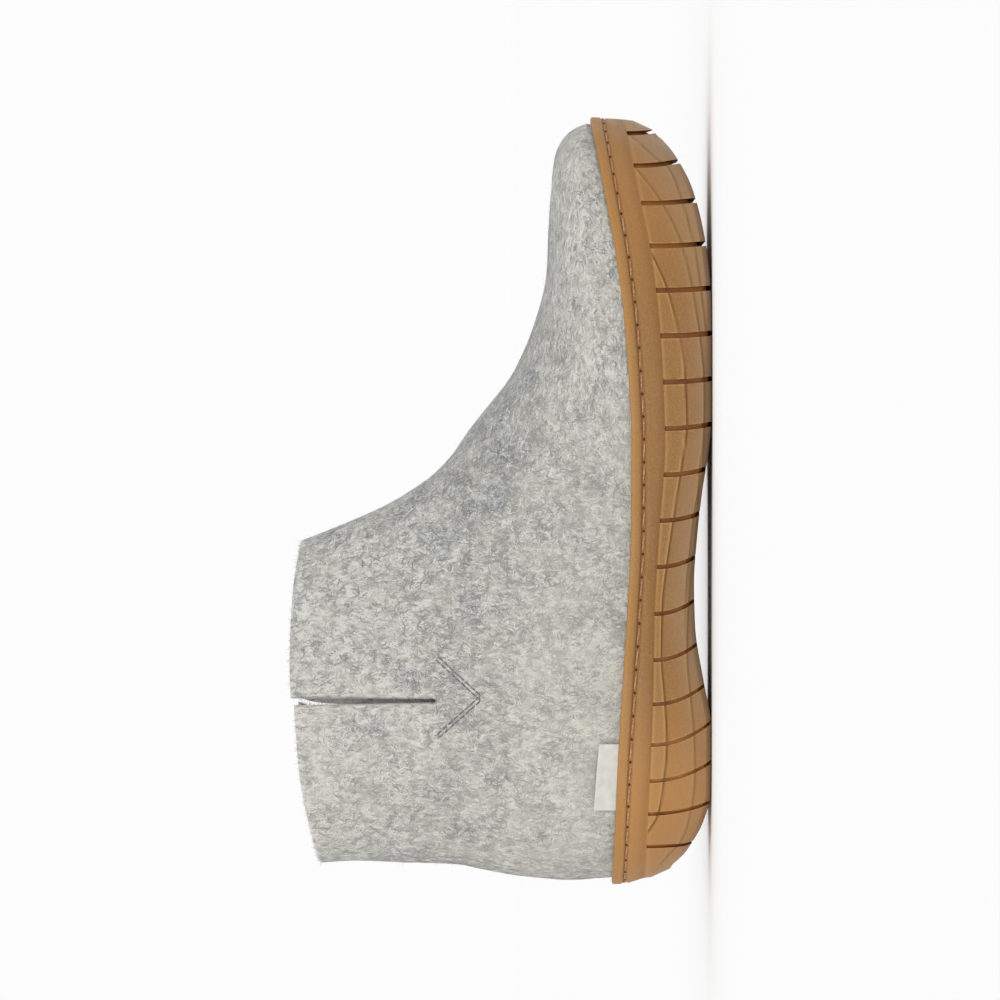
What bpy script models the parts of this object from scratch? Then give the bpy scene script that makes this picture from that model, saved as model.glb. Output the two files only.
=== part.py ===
"""Wool felt slipper boot for the right foot: felt upper, rubber cup sole, felt insole and woven side tab.

The tables are in millimetres and the meshes in metres. +X points to the toe, +Y to the inner side of the
foot, +Z up. The floor is Z = 0 and the origin lies under the middle of the sole.
"""

import math

import bmesh
import bpy
import numpy as np

MM = 0.001

# Driving sizes, in millimetres
LENGTH = 280.0
COLLAR_HEIGHT = 152.0
COLLAR_BACK_HEIGHT = 142.3
COLLAR_BOW = 6.5
COLLAR_BOW_START = 0.3
FELT_THICKNESS = 5.0
SHAFT_HALF_WIDTH = 34.5
SHAFT_BACK_DEPTH = 60.0
SHAFT_BACK_POWER = 2.2
HEEL_LEAN_FULL_X = -105.0
HEEL_LEAN_NONE_X = -20.0
SWELL_HEIGHT = 45.0
SWELL_CLOSING_DEPTH = 30.0
LIP_THICKNESS = 2.2
SEAT_GAP = 0.35
LIP_RIM_INSET = 0.6
LIP_RIM_DROP = 0.5
LIP_CLEARANCE = 0.5
FOOT_EASE = 0.4
CUP_TUCK_TOE = 4.0
CUP_TUCK_HEEL = 4.0
INSOLE_THICKNESS = 5.0
INSOLE_CLEARANCE = 0.5
INSOLE_EDGE_ROUND = 0.9
GROOVE_COUNT = 18
GROOVE_DEPTH = 3.0
GROOVE_ARC = 3.0
GROOVE_REACH = 1.15
GROOVE_LEAST_HALF_WIDTH = 25.0
GROOVE_SLAB_LOW = -6.0
GROOVE_SLAB_HIGH = 60.0
SLIT_X = -72.5
SLIT_FOOT_HEIGHT = 99.5
SLIT_FOOT_WIDTH = 0.9
SLIT_MOUTH_WIDTH = 2.6
SLIT_OVERRUN = 12.0
SLIT_REACH = 70.0
TAB_FRONT_X = -88.0
TAB_BACK_X = -112.0
TAB_FOOT = 0.5
TAB_HEIGHT = 7.8
TAB_THICKNESS = 0.8

# Mesh densities and sharpest smooth edge
SIDE_STATIONS = 32
HALF_SECTION_STEPS = 12
SHAFT_RINGS = 10
GROOVE_STEPS = 8
NORMAL_PASSES = 4
TAB_COLUMNS = 8
TAB_ROWS = 4
SMOOTH_EDGE_DEGREES = 35
PLAN_SAMPLES = 1440

LATERAL = -1.0
MEDIAL = 1.0
HALF_LENGTH = LENGTH / 2
END_FACING_FULL = 0.95
RING_SPACING_FOOT = -20.0
ARCH_SPACING_FOOT = 120.0
FELT_INSET = LIP_THICKNESS + SEAT_GAP


def table(columns, *rows):
    """Named columns of numbers from a header and its rows."""
    return dict(zip(columns.split(), np.array(rows, float).T))


# Outline of the sole seen from above: distance of each edge from the centre line
PLAN = table(
    "x lateral medial",
    (-140, 2.4, -2.4),
    (-135, 19.4, 14.8),
    (-122, 33.8, 29.0),
    (-100, 42.6, 37.2),
    (-75, 44.6, 39.3),
    (-45, 46.2, 39.2),
    (-15, 49.0, 40.2),
    (10, 52.3, 44.0),
    (36, 55.0, 50.8),
    (62, 53.8, 55.0),
    (90, 46.6, 53.4),
    (113, 35.6, 47.5),
    (128, 21.5, 38.5),
    (136.5, 6.0, 26.5),
    (140, -10.5, 10.5),
)

# Heights of the sole's lines along its edge, and how far the felt swells out above the lip
SOLE_LINES = table(
    "x lip band crease bevel cup swell",
    (-140, 35.7, 23.0, 21.6, 14.6, 24.0, 0.8),
    (-126, 35.2, 22.8, 21.0, 9.2, 22.4, 1.0),
    (-112, 34.7, 22.3, 19.2, 7.0, 19.4, 1.2),
    (-95, 34.0, 21.6, 17.2, 6.0, 17.2, 1.6),
    (-72, 32.6, 20.8, 17.2, 8.0, 15.9, 2.2),
    (-40, 30.6, 20.2, 18.2, 10.0, 15.0, 3.0),
    (-10, 29.3, 18.5, 14.6, 7.5, 14.2, 3.2),
    (20, 29.2, 16.6, 9.8, 3.4, 13.6, 2.6),
    (45, 30.3, 17.4, 10.0, 3.6, 13.6, 1.6),
    (65, 31.8, 18.7, 13.0, 5.6, 14.0, 1.0),
    (88, 34.6, 21.4, 20.0, 10.0, 16.4, 0.7),
    (110, 38.4, 25.4, 24.0, 13.5, 21.6, 0.6),
    (126, 41.2, 28.2, 26.4, 15.5, 27.0, 0.6),
    (140, 43.4, 30.6, 28.0, 20.5, 30.0, 0.6),
)

# Rocker of the tread: flat at the heel and under the ball, raised at the arch, the toe and the back
TREAD = table(
    "x floor",
    (-140, 17.0),
    (-126, 7.4),
    (-116, 2.6),
    (-105, 0.0),
    (-82, 0.0),
    (-67, 2.6),
    (-45, 6.0),
    (-30, 6.4),
    (-12, 5.2),
    (4, 3.4),
    (20, 0.9),
    (32, 0.0),
    (70, 0.0),
    (86, 1.2),
    (100, 3.4),
    (114, 7.0),
    (123, 11.0),
    (140, 21.4),
)

# Side of the sole from lip to tread: drop below a named line, and inset from the outline on each stretch
SOLE_PROFILE = (
    # line, drop, side, toe, heel
    ("lip", 0.0, 0.7, 0.7, 0.7),
    ("lip", 0.7, 0.0, 0.0, 0.0),
    ("lip", 3.6, -0.1, 0.2, 0.2),
    ("lip", 4.1, 0.8, 1.0, 1.0),
    ("lip", 5.1, 0.8, 1.1, 1.1),
    ("lip", 5.7, -0.3, 0.4, 0.5),
    ("band", 0.0, -0.3, 1.3, 2.6),
    ("band", 0.6, -1.3, 0.9, 2.3),
    ("crease", 0.0, -1.2, 1.3, 2.6),
    ("crease", 0.5, -0.6, 1.9, 3.1),
    ("bevel", 0.0, 1.3, 4.9, 5.8),
    ("floor", -1.3, 4.2, 7.8, 8.2),
    ("floor", 0.0, 8.5, 13.5, 13.5),
)

# The floor of the tread grooves: clear of the band above them, and under the lugs' surface below it
GROOVE_PROFILE = (
    # line, drop, side, toe, heel
    ("lip", -4.0, -4.0, -4.0, -4.0),
    ("band", 0.9, -4.0, -2.0, -2.0),
    ("band", 1.2, 0.3, 2.5, 3.8),
    ("crease", 0.5, 0.7, 3.4, 4.6),
    ("bevel", -0.8, 3.2, 6.9, 7.7),
    ("floor", -GROOVE_DEPTH, 9.5, 14.5, 14.5),
)

# Tread grooves, counted from the toe: place at the sole's edge, forward lean at its foot, and width
GROOVES = table(
    "index x lean width",
    (0, 133.3, 2.2, 1.7),
    (1, 120.9, 2.6, 1.8),
    (2, 107.0, 1.5, 1.8),
    (3, 91.4, 1.2, 1.8),
    (4, 75.3, 1.1, 1.9),
    (9, -7.4, 2.5, 1.7),
    (14, -88.2, 8.4, 1.4),
    (17, -125.3, 0.5, 1.3),
)

# Sections of the upper from the collar to the toe: distance of the section's foot forward along the lip from
# the heel, or up the heel where it is below 0, its apex on the instep line, and the depth and power of its
# rounded top
SECTIONS = table(
    "foot apex_x apex_z depth power",
    (-106.1, -14.6, 149.5, 88, 2.00),
    (-71, -5.8, 126.1, 74, 2.05),
    (-34, 2.9, 109.4, 62, 2.10),
    (0, 8.4, 101.4, 55, 2.15),
    (60, 15.0, 95.2, 50, 2.15),
    (105, 23.5, 88.9, 47, 2.15),
    (150, 37.0, 78.4, 45, 2.15),
    (170, 50.0, 69.5, 42, 2.15),
    (185, 65.0, 63.1, 38, 2.15),
    (200, 85.0, 59.2, 34, 2.15),
    (213, 103.5, 58.2, 32, 2.15),
    (225, 117.0, 57.2, 28, 2.10),
    (235, 125.0, 56.1, 23, 2.10),
    (243, 130.5, 54.1, 17, 2.05),
    (250, 134.2, 51.2, 10, 2.05),
    (257, 136.3, 47.8, 4.8, 2.00),
    (262, 137.2, 45.5, 1.6, 2.00),
    (266, 137.45, 43.9, 0.01, 2.00),
)

# Back of the heel seen from the side
HEEL_LINE = table(
    "z x",
    (36.2, -137.45),
    (52, -138.0),
    (67, -137.0),
    (80, -134.8),
    (92, -132.6),
    (110, -131.6),
    (152, -131.8),
)

# Line of the apexes seen from above
RIDGE = table("x y", (-140, -3.0), (-15, -3.0), (20, -2.0), (60, 1.0), (95, 4.5), (137.45, 10.3))

MATERIALS = {
    # name: base colour, roughness
    "felt": ((0.50, 0.50, 0.485), 0.95),
    "rubber": ((0.44, 0.235, 0.085), 0.55),
    "insole_felt": ((0.30, 0.30, 0.295), 0.97),
    "tape": ((0.78, 0.77, 0.72), 0.85),
}


def curve(xs, ys):
    """Smooth curve through the points that never overshoots them."""
    xs, ys = np.asarray(xs, float), np.asarray(ys, float)
    step, slope = np.diff(xs), np.diff(ys) / np.diff(xs)
    before, after = slope[:-1], slope[1:]
    weight_before, weight_after = 2 * step[1:] + step[:-1], step[1:] + 2 * step[:-1]
    rising = before * after > 0
    safe_before, safe_after = np.where(rising, before, 1.0), np.where(rising, after, 1.0)
    mean = (weight_before + weight_after) / (weight_before / safe_before + weight_after / safe_after)
    tangent = np.concatenate([slope[:1], np.where(rising, mean, 0.0), slope[-1:]])

    def at(x):
        x = np.clip(x, xs[0], xs[-1])
        k = np.clip(np.searchsorted(xs, x, side="right") - 1, 0, len(step) - 1)
        h, t = step[k], (x - xs[k]) / step[k]
        return (
            ys[k] * (1 + 2 * t) * (1 - t) ** 2
            + ys[k + 1] * t * t * (3 - 2 * t)
            + h * tangent[k] * t * (1 - t) ** 2
            - h * tangent[k + 1] * t * t * (1 - t)
        )

    return at


def closed_curve(xs, ys, period):
    """Smooth curve through points that repeats after a period."""
    xs, ys = np.asarray(xs, float), np.asarray(ys, float)
    count = len(xs)
    step = np.diff(np.append(xs, xs[0] + period))
    slope = np.diff(np.append(ys, ys[0])) / step
    system = np.zeros((count, count))
    for k in range(count):
        system[k, k - 1] = step[k - 1]
        system[k, k] = 2 * (step[k - 1] + step[k])
        system[k, (k + 1) % count] = step[k]
    bend = np.linalg.solve(system, 6 * (slope - np.roll(slope, 1)))
    next_y, next_bend = np.roll(ys, -1), np.roll(bend, -1)

    def at(x):
        x = (np.asarray(x) - xs[0]) % period + xs[0]
        k = np.searchsorted(xs, x, side="right") - 1
        h, past = step[k], x - xs[k]
        left = h - past
        cubic = (bend[k] * left**3 + next_bend[k] * past**3) / (6 * h)
        return cubic + (ys[k] / h - bend[k] * h / 6) * left + (next_y[k] / h - next_bend[k] * h / 6) * past

    return at


def smoothstep(x, low, high):
    """Share from 0 at low to 1 at high, with flat ends."""
    t = np.clip((x - low) / (high - low), 0, 1)
    return t * t * (3 - 2 * t)


def rounding(distance, depth, power):
    """Share of the full width at a distance inside a rounded edge of that depth."""
    inside = 1 - np.clip(distance / depth, 0, 1)
    return (1 - inside**power) ** (1 / power)


line = {name: curve(SOLE_LINES["x"], SOLE_LINES[name]) for name in SOLE_LINES if name != "x"}
line["floor"] = curve(TREAD["x"], TREAD["floor"])
heel_x = curve(HEEL_LINE["z"], HEEL_LINE["x"])
ridge_y = curve(RIDGE["x"], RIDGE["y"])
section = {name: curve(SECTIONS["foot"], SECTIONS[name]) for name in SECTIONS if name != "foot"}
groove = {name: curve(GROOVES["index"], GROOVES[name]) for name in GROOVES if name != "index"}

# The outline by angle: heel at -pi, lateral edge, toe at 0, medial edge, heel at pi
PLAN_ANGLE = np.arccos(PLAN["x"] / HALF_LENGTH)
plan_y = closed_curve(
    np.concatenate([-PLAN_ANGLE, PLAN_ANGLE[-2:0:-1]]),
    np.concatenate([-PLAN["lateral"], PLAN["medial"][-2:0:-1]]),
    2 * math.pi,
)


def outline(angle):
    """Point of the sole's outline at an angle."""
    return np.stack([HALF_LENGTH * np.cos(angle), plan_y(angle)], axis=-1)


def outward(angle):
    """Unit normal of the outline at an angle."""
    along = outline(angle + 1e-3) - outline(angle - 1e-3)
    along /= np.linalg.norm(along, axis=-1, keepdims=True)
    return np.stack([along[..., 1], -along[..., 0]], axis=-1)


def inset_outline(angle, inset):
    """Outline moved inwards, by one distance or by one for each point."""
    return outline(angle) - outward(angle) * np.reshape(inset, (-1, 1))


def felt_outline_by_side():
    """The felt's outline at the lip as y by x, for each side."""
    angle = np.linspace(0, math.pi, PLAN_SAMPLES // 2)
    found = {}
    for side in (LATERAL, MEDIAL):
        points = inset_outline(side * angle, FELT_INSET)
        order = np.argsort(points[:, 0])
        found[side] = points[order]
    return found


FELT_OUTLINE = felt_outline_by_side()
FELT_BACK_X = FELT_OUTLINE[LATERAL][0, 0]
HEEL_Y = FELT_OUTLINE[LATERAL][0, 1]
HEEL_LIP_HEIGHT = float(HEEL_LINE["z"][0])
HEEL_RISE = COLLAR_BACK_HEIGHT - HEEL_LIP_HEIGHT
TOE_FOOT = float(SECTIONS["foot"][-1])


def felt_side(x, z, side):
    """Side of the felt seen from behind, where its rounded front doesn't reach."""
    shift = (heel_x(z) - FELT_BACK_X) * (1 - smoothstep(x, HEEL_LEAN_FULL_X, HEEL_LEAN_NONE_X))
    back_x = x - shift
    foot = np.interp(back_x, FELT_OUTLINE[side][:, 0], FELT_OUTLINE[side][:, 1])
    leg = HEEL_Y + side * SHAFT_HALF_WIDTH * rounding(back_x - FELT_BACK_X, SHAFT_BACK_DEPTH, SHAFT_BACK_POWER)
    rise = z - line["lip"](x)
    climb = np.clip(rise / (COLLAR_HEIGHT - line["lip"](x)), 0, 1)
    swell = line["swell"](x) * np.sin(math.pi * np.clip(rise / SWELL_HEIGHT, 0, 1))
    closing = rounding(back_x - FELT_BACK_X, SWELL_CLOSING_DEPTH, 2)
    return foot + (leg - foot) * climb + side * swell * closing


def side_angles(feet):
    """Outline angles at distances from the heel along the edge, as a mean of both sides."""
    fine = np.linspace(math.pi, 0, PLAN_SAMPLES)
    steps = [np.linalg.norm(np.diff(outline(side * fine), axis=0), axis=1) for side in (LATERAL, MEDIAL)]
    walked = np.concatenate([[0], np.cumsum(sum(steps) / 2)])
    return np.interp(feet, walked, fine)


STATION_FEET = np.linspace(0, TOE_FOOT, SIDE_STATIONS + 1)
STATION_ANGLES = side_angles(STATION_FEET)
TOE_ANGLES = np.linspace(-STATION_ANGLES[-1], STATION_ANGLES[-1], 2 * HALF_SECTION_STEPS + 1)
RING_ANGLES = np.concatenate([-STATION_ANGLES[:-1], TOE_ANGLES, STATION_ANGLES[-2:0:-1]])


def half_section(foot, end, side, shares):
    """Points of one side of an upper section, from its foot at end (x, z) to its apex."""
    apex = np.array([section["apex_x"](foot), section["apex_z"](foot)])
    bow = COLLAR_BOW * smoothstep(-foot, HEEL_RISE * COLLAR_BOW_START, HEEL_RISE)
    flat = end + (apex - end) * shares[:, None]
    x, z = flat[:, 0], flat[:, 1] + bow * 4 * shares * (1 - shares)
    inside = (1 - shares) * np.linalg.norm(apex - end)
    width = rounding(inside, section["depth"](foot), section["power"](foot))
    y = ridge_y(apex[0]) * (1 - width) + felt_side(x, z, side) * width
    return np.stack([x, y, z], axis=1)


def point_shares(foot):
    """Shares of the way from foot to apex: close at both ends of a ring, and at the apex of an arch."""
    steps = np.linspace(0, 1, HALF_SECTION_STEPS + 1)
    arch = smoothstep(foot, RING_SPACING_FOOT, ARCH_SPACING_FOOT)
    return (1 - arch) * (1 - np.cos(math.pi * steps)) / 2 + arch * np.sin(math.pi / 2 * steps)


def whole_section(foot, ends):
    """Points of an upper section from its lateral foot over the apex to its medial foot."""
    shares = point_shares(foot)
    lateral = half_section(foot, ends[0], LATERAL, shares)
    medial = half_section(foot, ends[1], MEDIAL, shares)
    return np.concatenate([lateral, medial[-2::-1]])


def upper_sections():
    """All sections of the felt's outer face: rings round the shaft, then arches over the foot."""
    sections = []
    for rise in np.linspace(HEEL_RISE, 0, SHAFT_RINGS + 1):
        end = np.array([heel_x(HEEL_LIP_HEIGHT + rise), HEEL_LIP_HEIGHT + rise])
        ring = whole_section(-rise, (end, end))
        ring[[0, -1], 1] = HEEL_Y
        sections.append(ring)
    for foot, angle in zip(STATION_FEET[1:-1], STATION_ANGLES[1:-1]):
        ends = edge_ring(FELT_INSET, "lip", LIP_CLEARANCE, np.array([-angle, angle]))
        arch = whole_section(foot, ends[:, [0, 2]])
        arch[[0, -1]] = ends
        sections.append(arch)
    sections.append(edge_ring(FELT_INSET, "lip", LIP_CLEARANCE, TOE_ANGLES))
    return sections


def end_shares(angles):
    """How far the outline faces the toe, and the heel, at each angle."""
    normal_x = outward(angles)[:, 0]
    return smoothstep(normal_x, 0, END_FACING_FULL), smoothstep(-normal_x, 0, END_FACING_FULL)


def edge_ring(inset, height_line, raised, angles=RING_ANGLES):
    """Ring round the shoe at an inset from the outline, raised above one of the sole's lines."""
    edge_x = outline(angles)[:, 0]
    return np.column_stack([inset_outline(angles, inset), line[height_line](edge_x) + raised])


def cup_ring(inset, raised):
    """Ring at the foot of the cup, which tucks in below the toe and the heel."""
    toe_share, heel_share = end_shares(RING_ANGLES)
    return edge_ring(inset + CUP_TUCK_TOE * toe_share + CUP_TUCK_HEEL * heel_share, "cup", raised)


def profile_ring(row):
    """Ring of the sole's side for one profile row, with its own inset at the sides, toe and heel."""
    height_line, drop, side, toe, heel = row
    toe_share, heel_share = end_shares(RING_ANGLES)
    flat = inset_outline(RING_ANGLES, side + (toe - side) * toe_share + (heel - side) * heel_share)
    line_x = flat[:, 0] if height_line == "floor" else outline(RING_ANGLES)[:, 0]
    return np.column_stack([flat, line[height_line](line_x) - drop])


def add_object(name, points, faces, material):
    """Mesh object from points in millimetres, with its faces turned outwards."""
    mesh = bpy.data.meshes.new(name)
    mesh.from_pydata((np.asarray(points) * MM).tolist(), [], faces)
    editable = bmesh.new()
    editable.from_mesh(mesh)
    bmesh.ops.recalc_face_normals(editable, faces=editable.faces)
    editable.to_mesh(mesh)
    editable.free()
    mesh.shade_smooth()
    mesh.set_sharp_from_angle(angle=math.radians(SMOOTH_EDGE_DEGREES))
    obj = bpy.data.objects.new(name, mesh)
    bpy.context.scene.collection.objects.link(obj)
    if material:
        mesh.materials.append(material)
    return obj


def ring_faces(first, second, count):
    """Quads between two closed rings of points that start at these indices."""
    return [(first + k, first + (k + 1) % count, second + (k + 1) % count, second + k) for k in range(count)]


def ladder_faces(start, count):
    """Faces across a ring, from its lateral points to the medial ones at the same station."""
    half = count // 2
    faces = [(start, start + 1, start + count - 1)]
    for k in range(1, half - 1):
        faces.append((start + k, start + k + 1, start + count - k - 1, start + count - k))
    faces.append((start + half - 1, start + half, start + half + 1))
    return faces


def stacked_rings(name, rings, material):
    """Closed solid through rings, capped across the first and the last."""
    count = len(rings[0])
    faces = ladder_faces(0, count)
    for k in range(len(rings) - 1):
        faces += ring_faces(k * count, (k + 1) * count, count)
    faces += ladder_faces((len(rings) - 1) * count, count)
    return add_object(name, np.concatenate(rings), faces, material)


def make_cutter(obj):
    """Keeps a helper out of the model and shows it as wire."""
    obj.hide_render = True
    obj.display_type = "WIRE"
    return obj


def cut(obj, cutter):
    """Boolean that takes the cutter's shape out of an object."""
    boolean = obj.modifiers.new("cut_" + cutter.name, "BOOLEAN")
    boolean.operation = "DIFFERENCE"
    boolean.solver = "EXACT"
    boolean.object = cutter


def curved_slab(places, half_widths, low, high):
    """Points and faces of an upright slab along places (x, y), from height low to high."""
    count = len(places)
    points = []
    for z in (low, high):
        for turn in (-1, 1):
            points += [(x + turn * half, y, z) for (x, y), half in zip(places, half_widths)]
    faces = []
    for k in range(count - 1):
        back_low, front_low, back_high, front_high = (k + row * count for row in range(4))
        faces.append((back_low, front_low, front_low + 1, back_low + 1))
        faces.append((back_high, back_high + 1, front_high + 1, front_high))
        faces.append((back_low, back_low + 1, back_high + 1, back_high))
        faces.append((front_low, front_high, front_high + 1, front_low + 1))
    faces += [(k, 2 * count + k, 3 * count + k, count + k) for k in (0, count - 1)]
    return points, faces


def groove_cutter():
    """The tread's cross grooves: upright slabs, each bowed forward under the foot, down to their floor."""
    points, faces = [], []
    across = np.linspace(-GROOVE_REACH, GROOVE_REACH, GROOVE_STEPS + 1)
    for index in range(GROOVE_COUNT):
        edge_x, lean, width = (float(groove[name](index)) for name in ("x", "lean", "width"))
        angle = math.acos(np.clip(edge_x / HALF_LENGTH, -1, 1))
        lateral, medial = outline(np.array([-angle, angle]))[:, 1]
        y = (lateral + medial) / 2 + across * max((medial - lateral) / 2, GROOVE_LEAST_HALF_WIDTH)
        x = edge_x + GROOVE_ARC * lean * (1 - np.minimum(across**2, 1))
        places, half_widths = np.column_stack([x, y]), np.full(len(x), width / 2)
        more_points, more_faces = curved_slab(places, half_widths, GROOVE_SLAB_LOW, GROOVE_SLAB_HIGH)
        faces += [tuple(corner + len(points) for corner in face) for face in more_faces]
        points += more_points
    slabs = make_cutter(add_object("groove_slabs", points, faces, None))
    core = stacked_rings("groove_floor", [profile_ring(row) for row in GROOVE_PROFILE], None)
    cut(slabs, make_cutter(core))
    return slabs


def build_outsole(material):
    """Moulded rubber cup sole: thin lip, stitch channel, plain band, stepped lugs and cross grooves."""
    rings = [cup_ring(LIP_THICKNESS, 0), edge_ring(LIP_THICKNESS, "lip", -LIP_RIM_DROP)]
    rings += [edge_ring(LIP_THICKNESS - LIP_RIM_INSET, "lip", 0)]
    rings += [profile_ring(row) for row in SOLE_PROFILE]
    sole = stacked_rings("outsole", rings, material)
    cut(sole, groove_cutter())
    return sole


def build_insole(material):
    """Felt insole lying in the cup, inside the upper's wall."""
    edge = FELT_INSET + FOOT_EASE + FELT_THICKNESS + INSOLE_CLEARANCE
    top = SEAT_GAP + INSOLE_THICKNESS
    rings = [
        cup_ring(edge + INSOLE_EDGE_ROUND, top),
        cup_ring(edge, top - INSOLE_EDGE_ROUND),
        cup_ring(edge, SEAT_GAP),
    ]
    return stacked_rings("insole", rings, material)


def outer_felt_mesh():
    """Points and faces of the felt's outer face, with the indices of its collar and of its lower edge."""
    sections = upper_sections()
    closed = SHAFT_RINGS + 1
    across = 2 * HALF_SECTION_STEPS
    points, index = [], []
    for k, arch in enumerate(sections):
        start = len(points)
        kept = arch[:-1] if k < closed else arch
        points += list(kept)
        index.append([start + j % len(kept) for j in range(across + 1)])
    faces = []
    for first, second in zip(index, index[1:]):
        for j in range(across):
            corners = (first[j], first[j + 1], second[j + 1], second[j])
            faces.append(tuple(dict.fromkeys(corners)))
    heel = index[closed - 1][0]
    arches = index[closed:-1]
    lip_ring = [heel] + [arch[0] for arch in arches] + index[-1] + [arch[-1] for arch in reversed(arches)]
    foot_ring = cup_ring(FELT_INSET + FOOT_EASE, SEAT_GAP)
    foot = list(range(len(points), len(points) + len(foot_ring)))
    points += list(foot_ring)
    for k in range(len(foot)):
        faces.append((lip_ring[k - 1], lip_ring[k], foot[k], foot[k - 1]))
    return np.array(points), faces, index[0][:-1], foot


def unit(vectors):
    """Vectors of length 1."""
    return vectors / np.linalg.norm(vectors, axis=1, keepdims=True)


def point_normals(points, faces):
    """Unit normals at the points, averaged over their faces and then evened out with their neighbours'."""
    total = np.zeros_like(points)
    for face in faces:
        spokes = points[list(face[1:])] - points[face[0]]
        total[list(face)] += np.cross(spokes[:-1], spokes[1:]).sum(axis=0)
    normals = unit(total)
    for _ in range(NORMAL_PASSES):
        shared = np.zeros_like(points)
        for face in faces:
            shared[list(face)] += normals[list(face)].sum(axis=0)
        normals = unit(shared)
    return normals


def slit_cutter():
    """Wedge through both sides of the shaft, wider at the collar."""
    low, high = SLIT_FOOT_HEIGHT, COLLAR_HEIGHT + SLIT_OVERRUN
    foot, mouth = SLIT_FOOT_WIDTH / 2, SLIT_MOUTH_WIDTH / 2
    points = [
        (SLIT_X + turn * half, y, z)
        for y in (-SLIT_REACH, SLIT_REACH)
        for z, half in ((low, foot), (high, mouth))
        for turn in (-1, 1)
    ]
    faces = [(0, 1, 3, 2), (4, 6, 7, 5), (0, 4, 5, 1), (2, 3, 7, 6), (0, 2, 6, 4), (1, 5, 7, 3)]
    return make_cutter(add_object("slit_wedge", points, faces, None))


def build_upper(material):
    """Felt upper: one wall over the foot and ankle, open at the collar, at two side slits and underneath."""
    outer, faces, collar, edge = outer_felt_mesh()
    normals = point_normals(outer, faces)
    if np.dot(normals[collar[len(collar) // 2]], (1, 0, 0)) < 0:
        normals = -normals
    normals[edge] = np.column_stack([outward(RING_ANGLES), np.zeros(len(edge))])
    inner = outer - FELT_THICKNESS * normals
    count = len(outer)
    all_faces = faces + [tuple(corner + count for corner in face) for face in faces]
    for rim in (collar, edge):
        all_faces += [(here, here + count, there + count, there) for here, there in zip(rim, rim[1:] + rim[:1])]
    upper = add_object("upper", np.concatenate([outer, inner]), all_faces, material)
    cut(upper, slit_cutter())
    return upper


def build_side_tab(material):
    """Folded woven tab standing in the seam between lip and felt, on the outer side of the heel."""
    along = np.linspace(TAB_BACK_X, TAB_FRONT_X, TAB_COLUMNS)
    up = np.linspace(TAB_FOOT, TAB_FOOT + TAB_HEIGHT, TAB_ROWS)
    points = []
    for clear in (SEAT_GAP, SEAT_GAP + TAB_THICKNESS):
        for rise in up:
            z = line["lip"](along) + rise
            y = felt_side(along, z, LATERAL) - clear
            points += list(np.column_stack([along, y, z]))
    columns, rows = TAB_COLUMNS, TAB_ROWS
    grid = columns * rows
    faces = []
    for r in range(rows - 1):
        for c in range(columns - 1):
            a = r * columns + c
            quad = (a, a + 1, a + columns + 1, a + columns)
            faces.append(quad)
            faces.append(tuple(corner + grid for corner in quad))
    border = list(range(columns)) + [r * columns + columns - 1 for r in range(1, rows)]
    border += list(range(grid - 2, grid - columns - 1, -1)) + [r * columns for r in range(rows - 2, 0, -1)]
    for here, there in zip(border, border[1:] + border[:1]):
        faces.append((there, here, here + grid, there + grid))
    return add_object("side_tab", points, faces, material)


def make_material(name):
    """Plain surface of a part's colour and roughness."""
    colour, roughness = MATERIALS[name]
    material = bpy.data.materials.new(name)
    material.use_nodes = True
    shader = material.node_tree.nodes["Principled BSDF"]
    shader.inputs["Base Color"].default_value = (*colour, 1)
    shader.inputs["Roughness"].default_value = roughness
    shader.inputs["Metallic"].default_value = 0.0
    return material


def main():
    for obj in list(bpy.data.objects):
        bpy.data.objects.remove(obj)
    shoe = bpy.data.objects.new("slipper_boot", None)
    bpy.context.scene.collection.objects.link(shoe)
    parts = [
        build_outsole(make_material("rubber")),
        build_insole(make_material("insole_felt")),
        build_upper(make_material("felt")),
        build_side_tab(make_material("tape")),
    ]
    for part in parts:
        part.parent = shoe


main()
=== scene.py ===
"""Looks of a wool slipper boot for the right foot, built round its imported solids.

Sizes are in millimetres, and the meshes in metres. +X points to the toe, +Y to the inner side of the foot
and +Z up. The floor is Z = 0. In the finishes, scales are in lumps per metre, levels are the range of a
pattern over which one colour turns into the next, and a bump is its height in metres and its strength.
"""

import logging
import math
from dataclasses import dataclass
from enum import Enum
from typing import Iterable, Sequence, Union

import bmesh
import bpy
import numpy as np
from mathutils import Matrix, Vector
from mathutils.bvhtree import BVHTree

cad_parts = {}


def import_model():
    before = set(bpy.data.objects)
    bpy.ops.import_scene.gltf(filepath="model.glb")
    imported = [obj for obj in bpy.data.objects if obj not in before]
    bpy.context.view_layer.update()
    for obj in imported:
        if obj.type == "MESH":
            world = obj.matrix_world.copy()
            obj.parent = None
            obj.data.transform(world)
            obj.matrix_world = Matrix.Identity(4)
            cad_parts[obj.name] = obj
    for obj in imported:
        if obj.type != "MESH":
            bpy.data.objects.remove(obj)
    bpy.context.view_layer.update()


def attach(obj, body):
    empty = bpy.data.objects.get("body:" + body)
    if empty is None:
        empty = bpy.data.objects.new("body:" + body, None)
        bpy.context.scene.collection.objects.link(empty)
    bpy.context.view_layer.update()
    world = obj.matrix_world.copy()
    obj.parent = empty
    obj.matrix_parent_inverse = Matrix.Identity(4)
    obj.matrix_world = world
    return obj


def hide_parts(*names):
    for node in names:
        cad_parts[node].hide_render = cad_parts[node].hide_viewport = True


MM = 0.001
BODY = "root"
LOG = logging.getLogger("slipper_boot")

Array = np.ndarray
Face = tuple[int, ...]
Mesh = tuple[Array, list[Face]]
Span = tuple[float, float]
Triple = tuple[float, float, float]
Piece = bpy.types.Object
Material = bpy.types.Material
Socket = bpy.types.NodeSocket
Value = Union[float, Sequence[float], Socket]
Place = Union[int, str]

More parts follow.
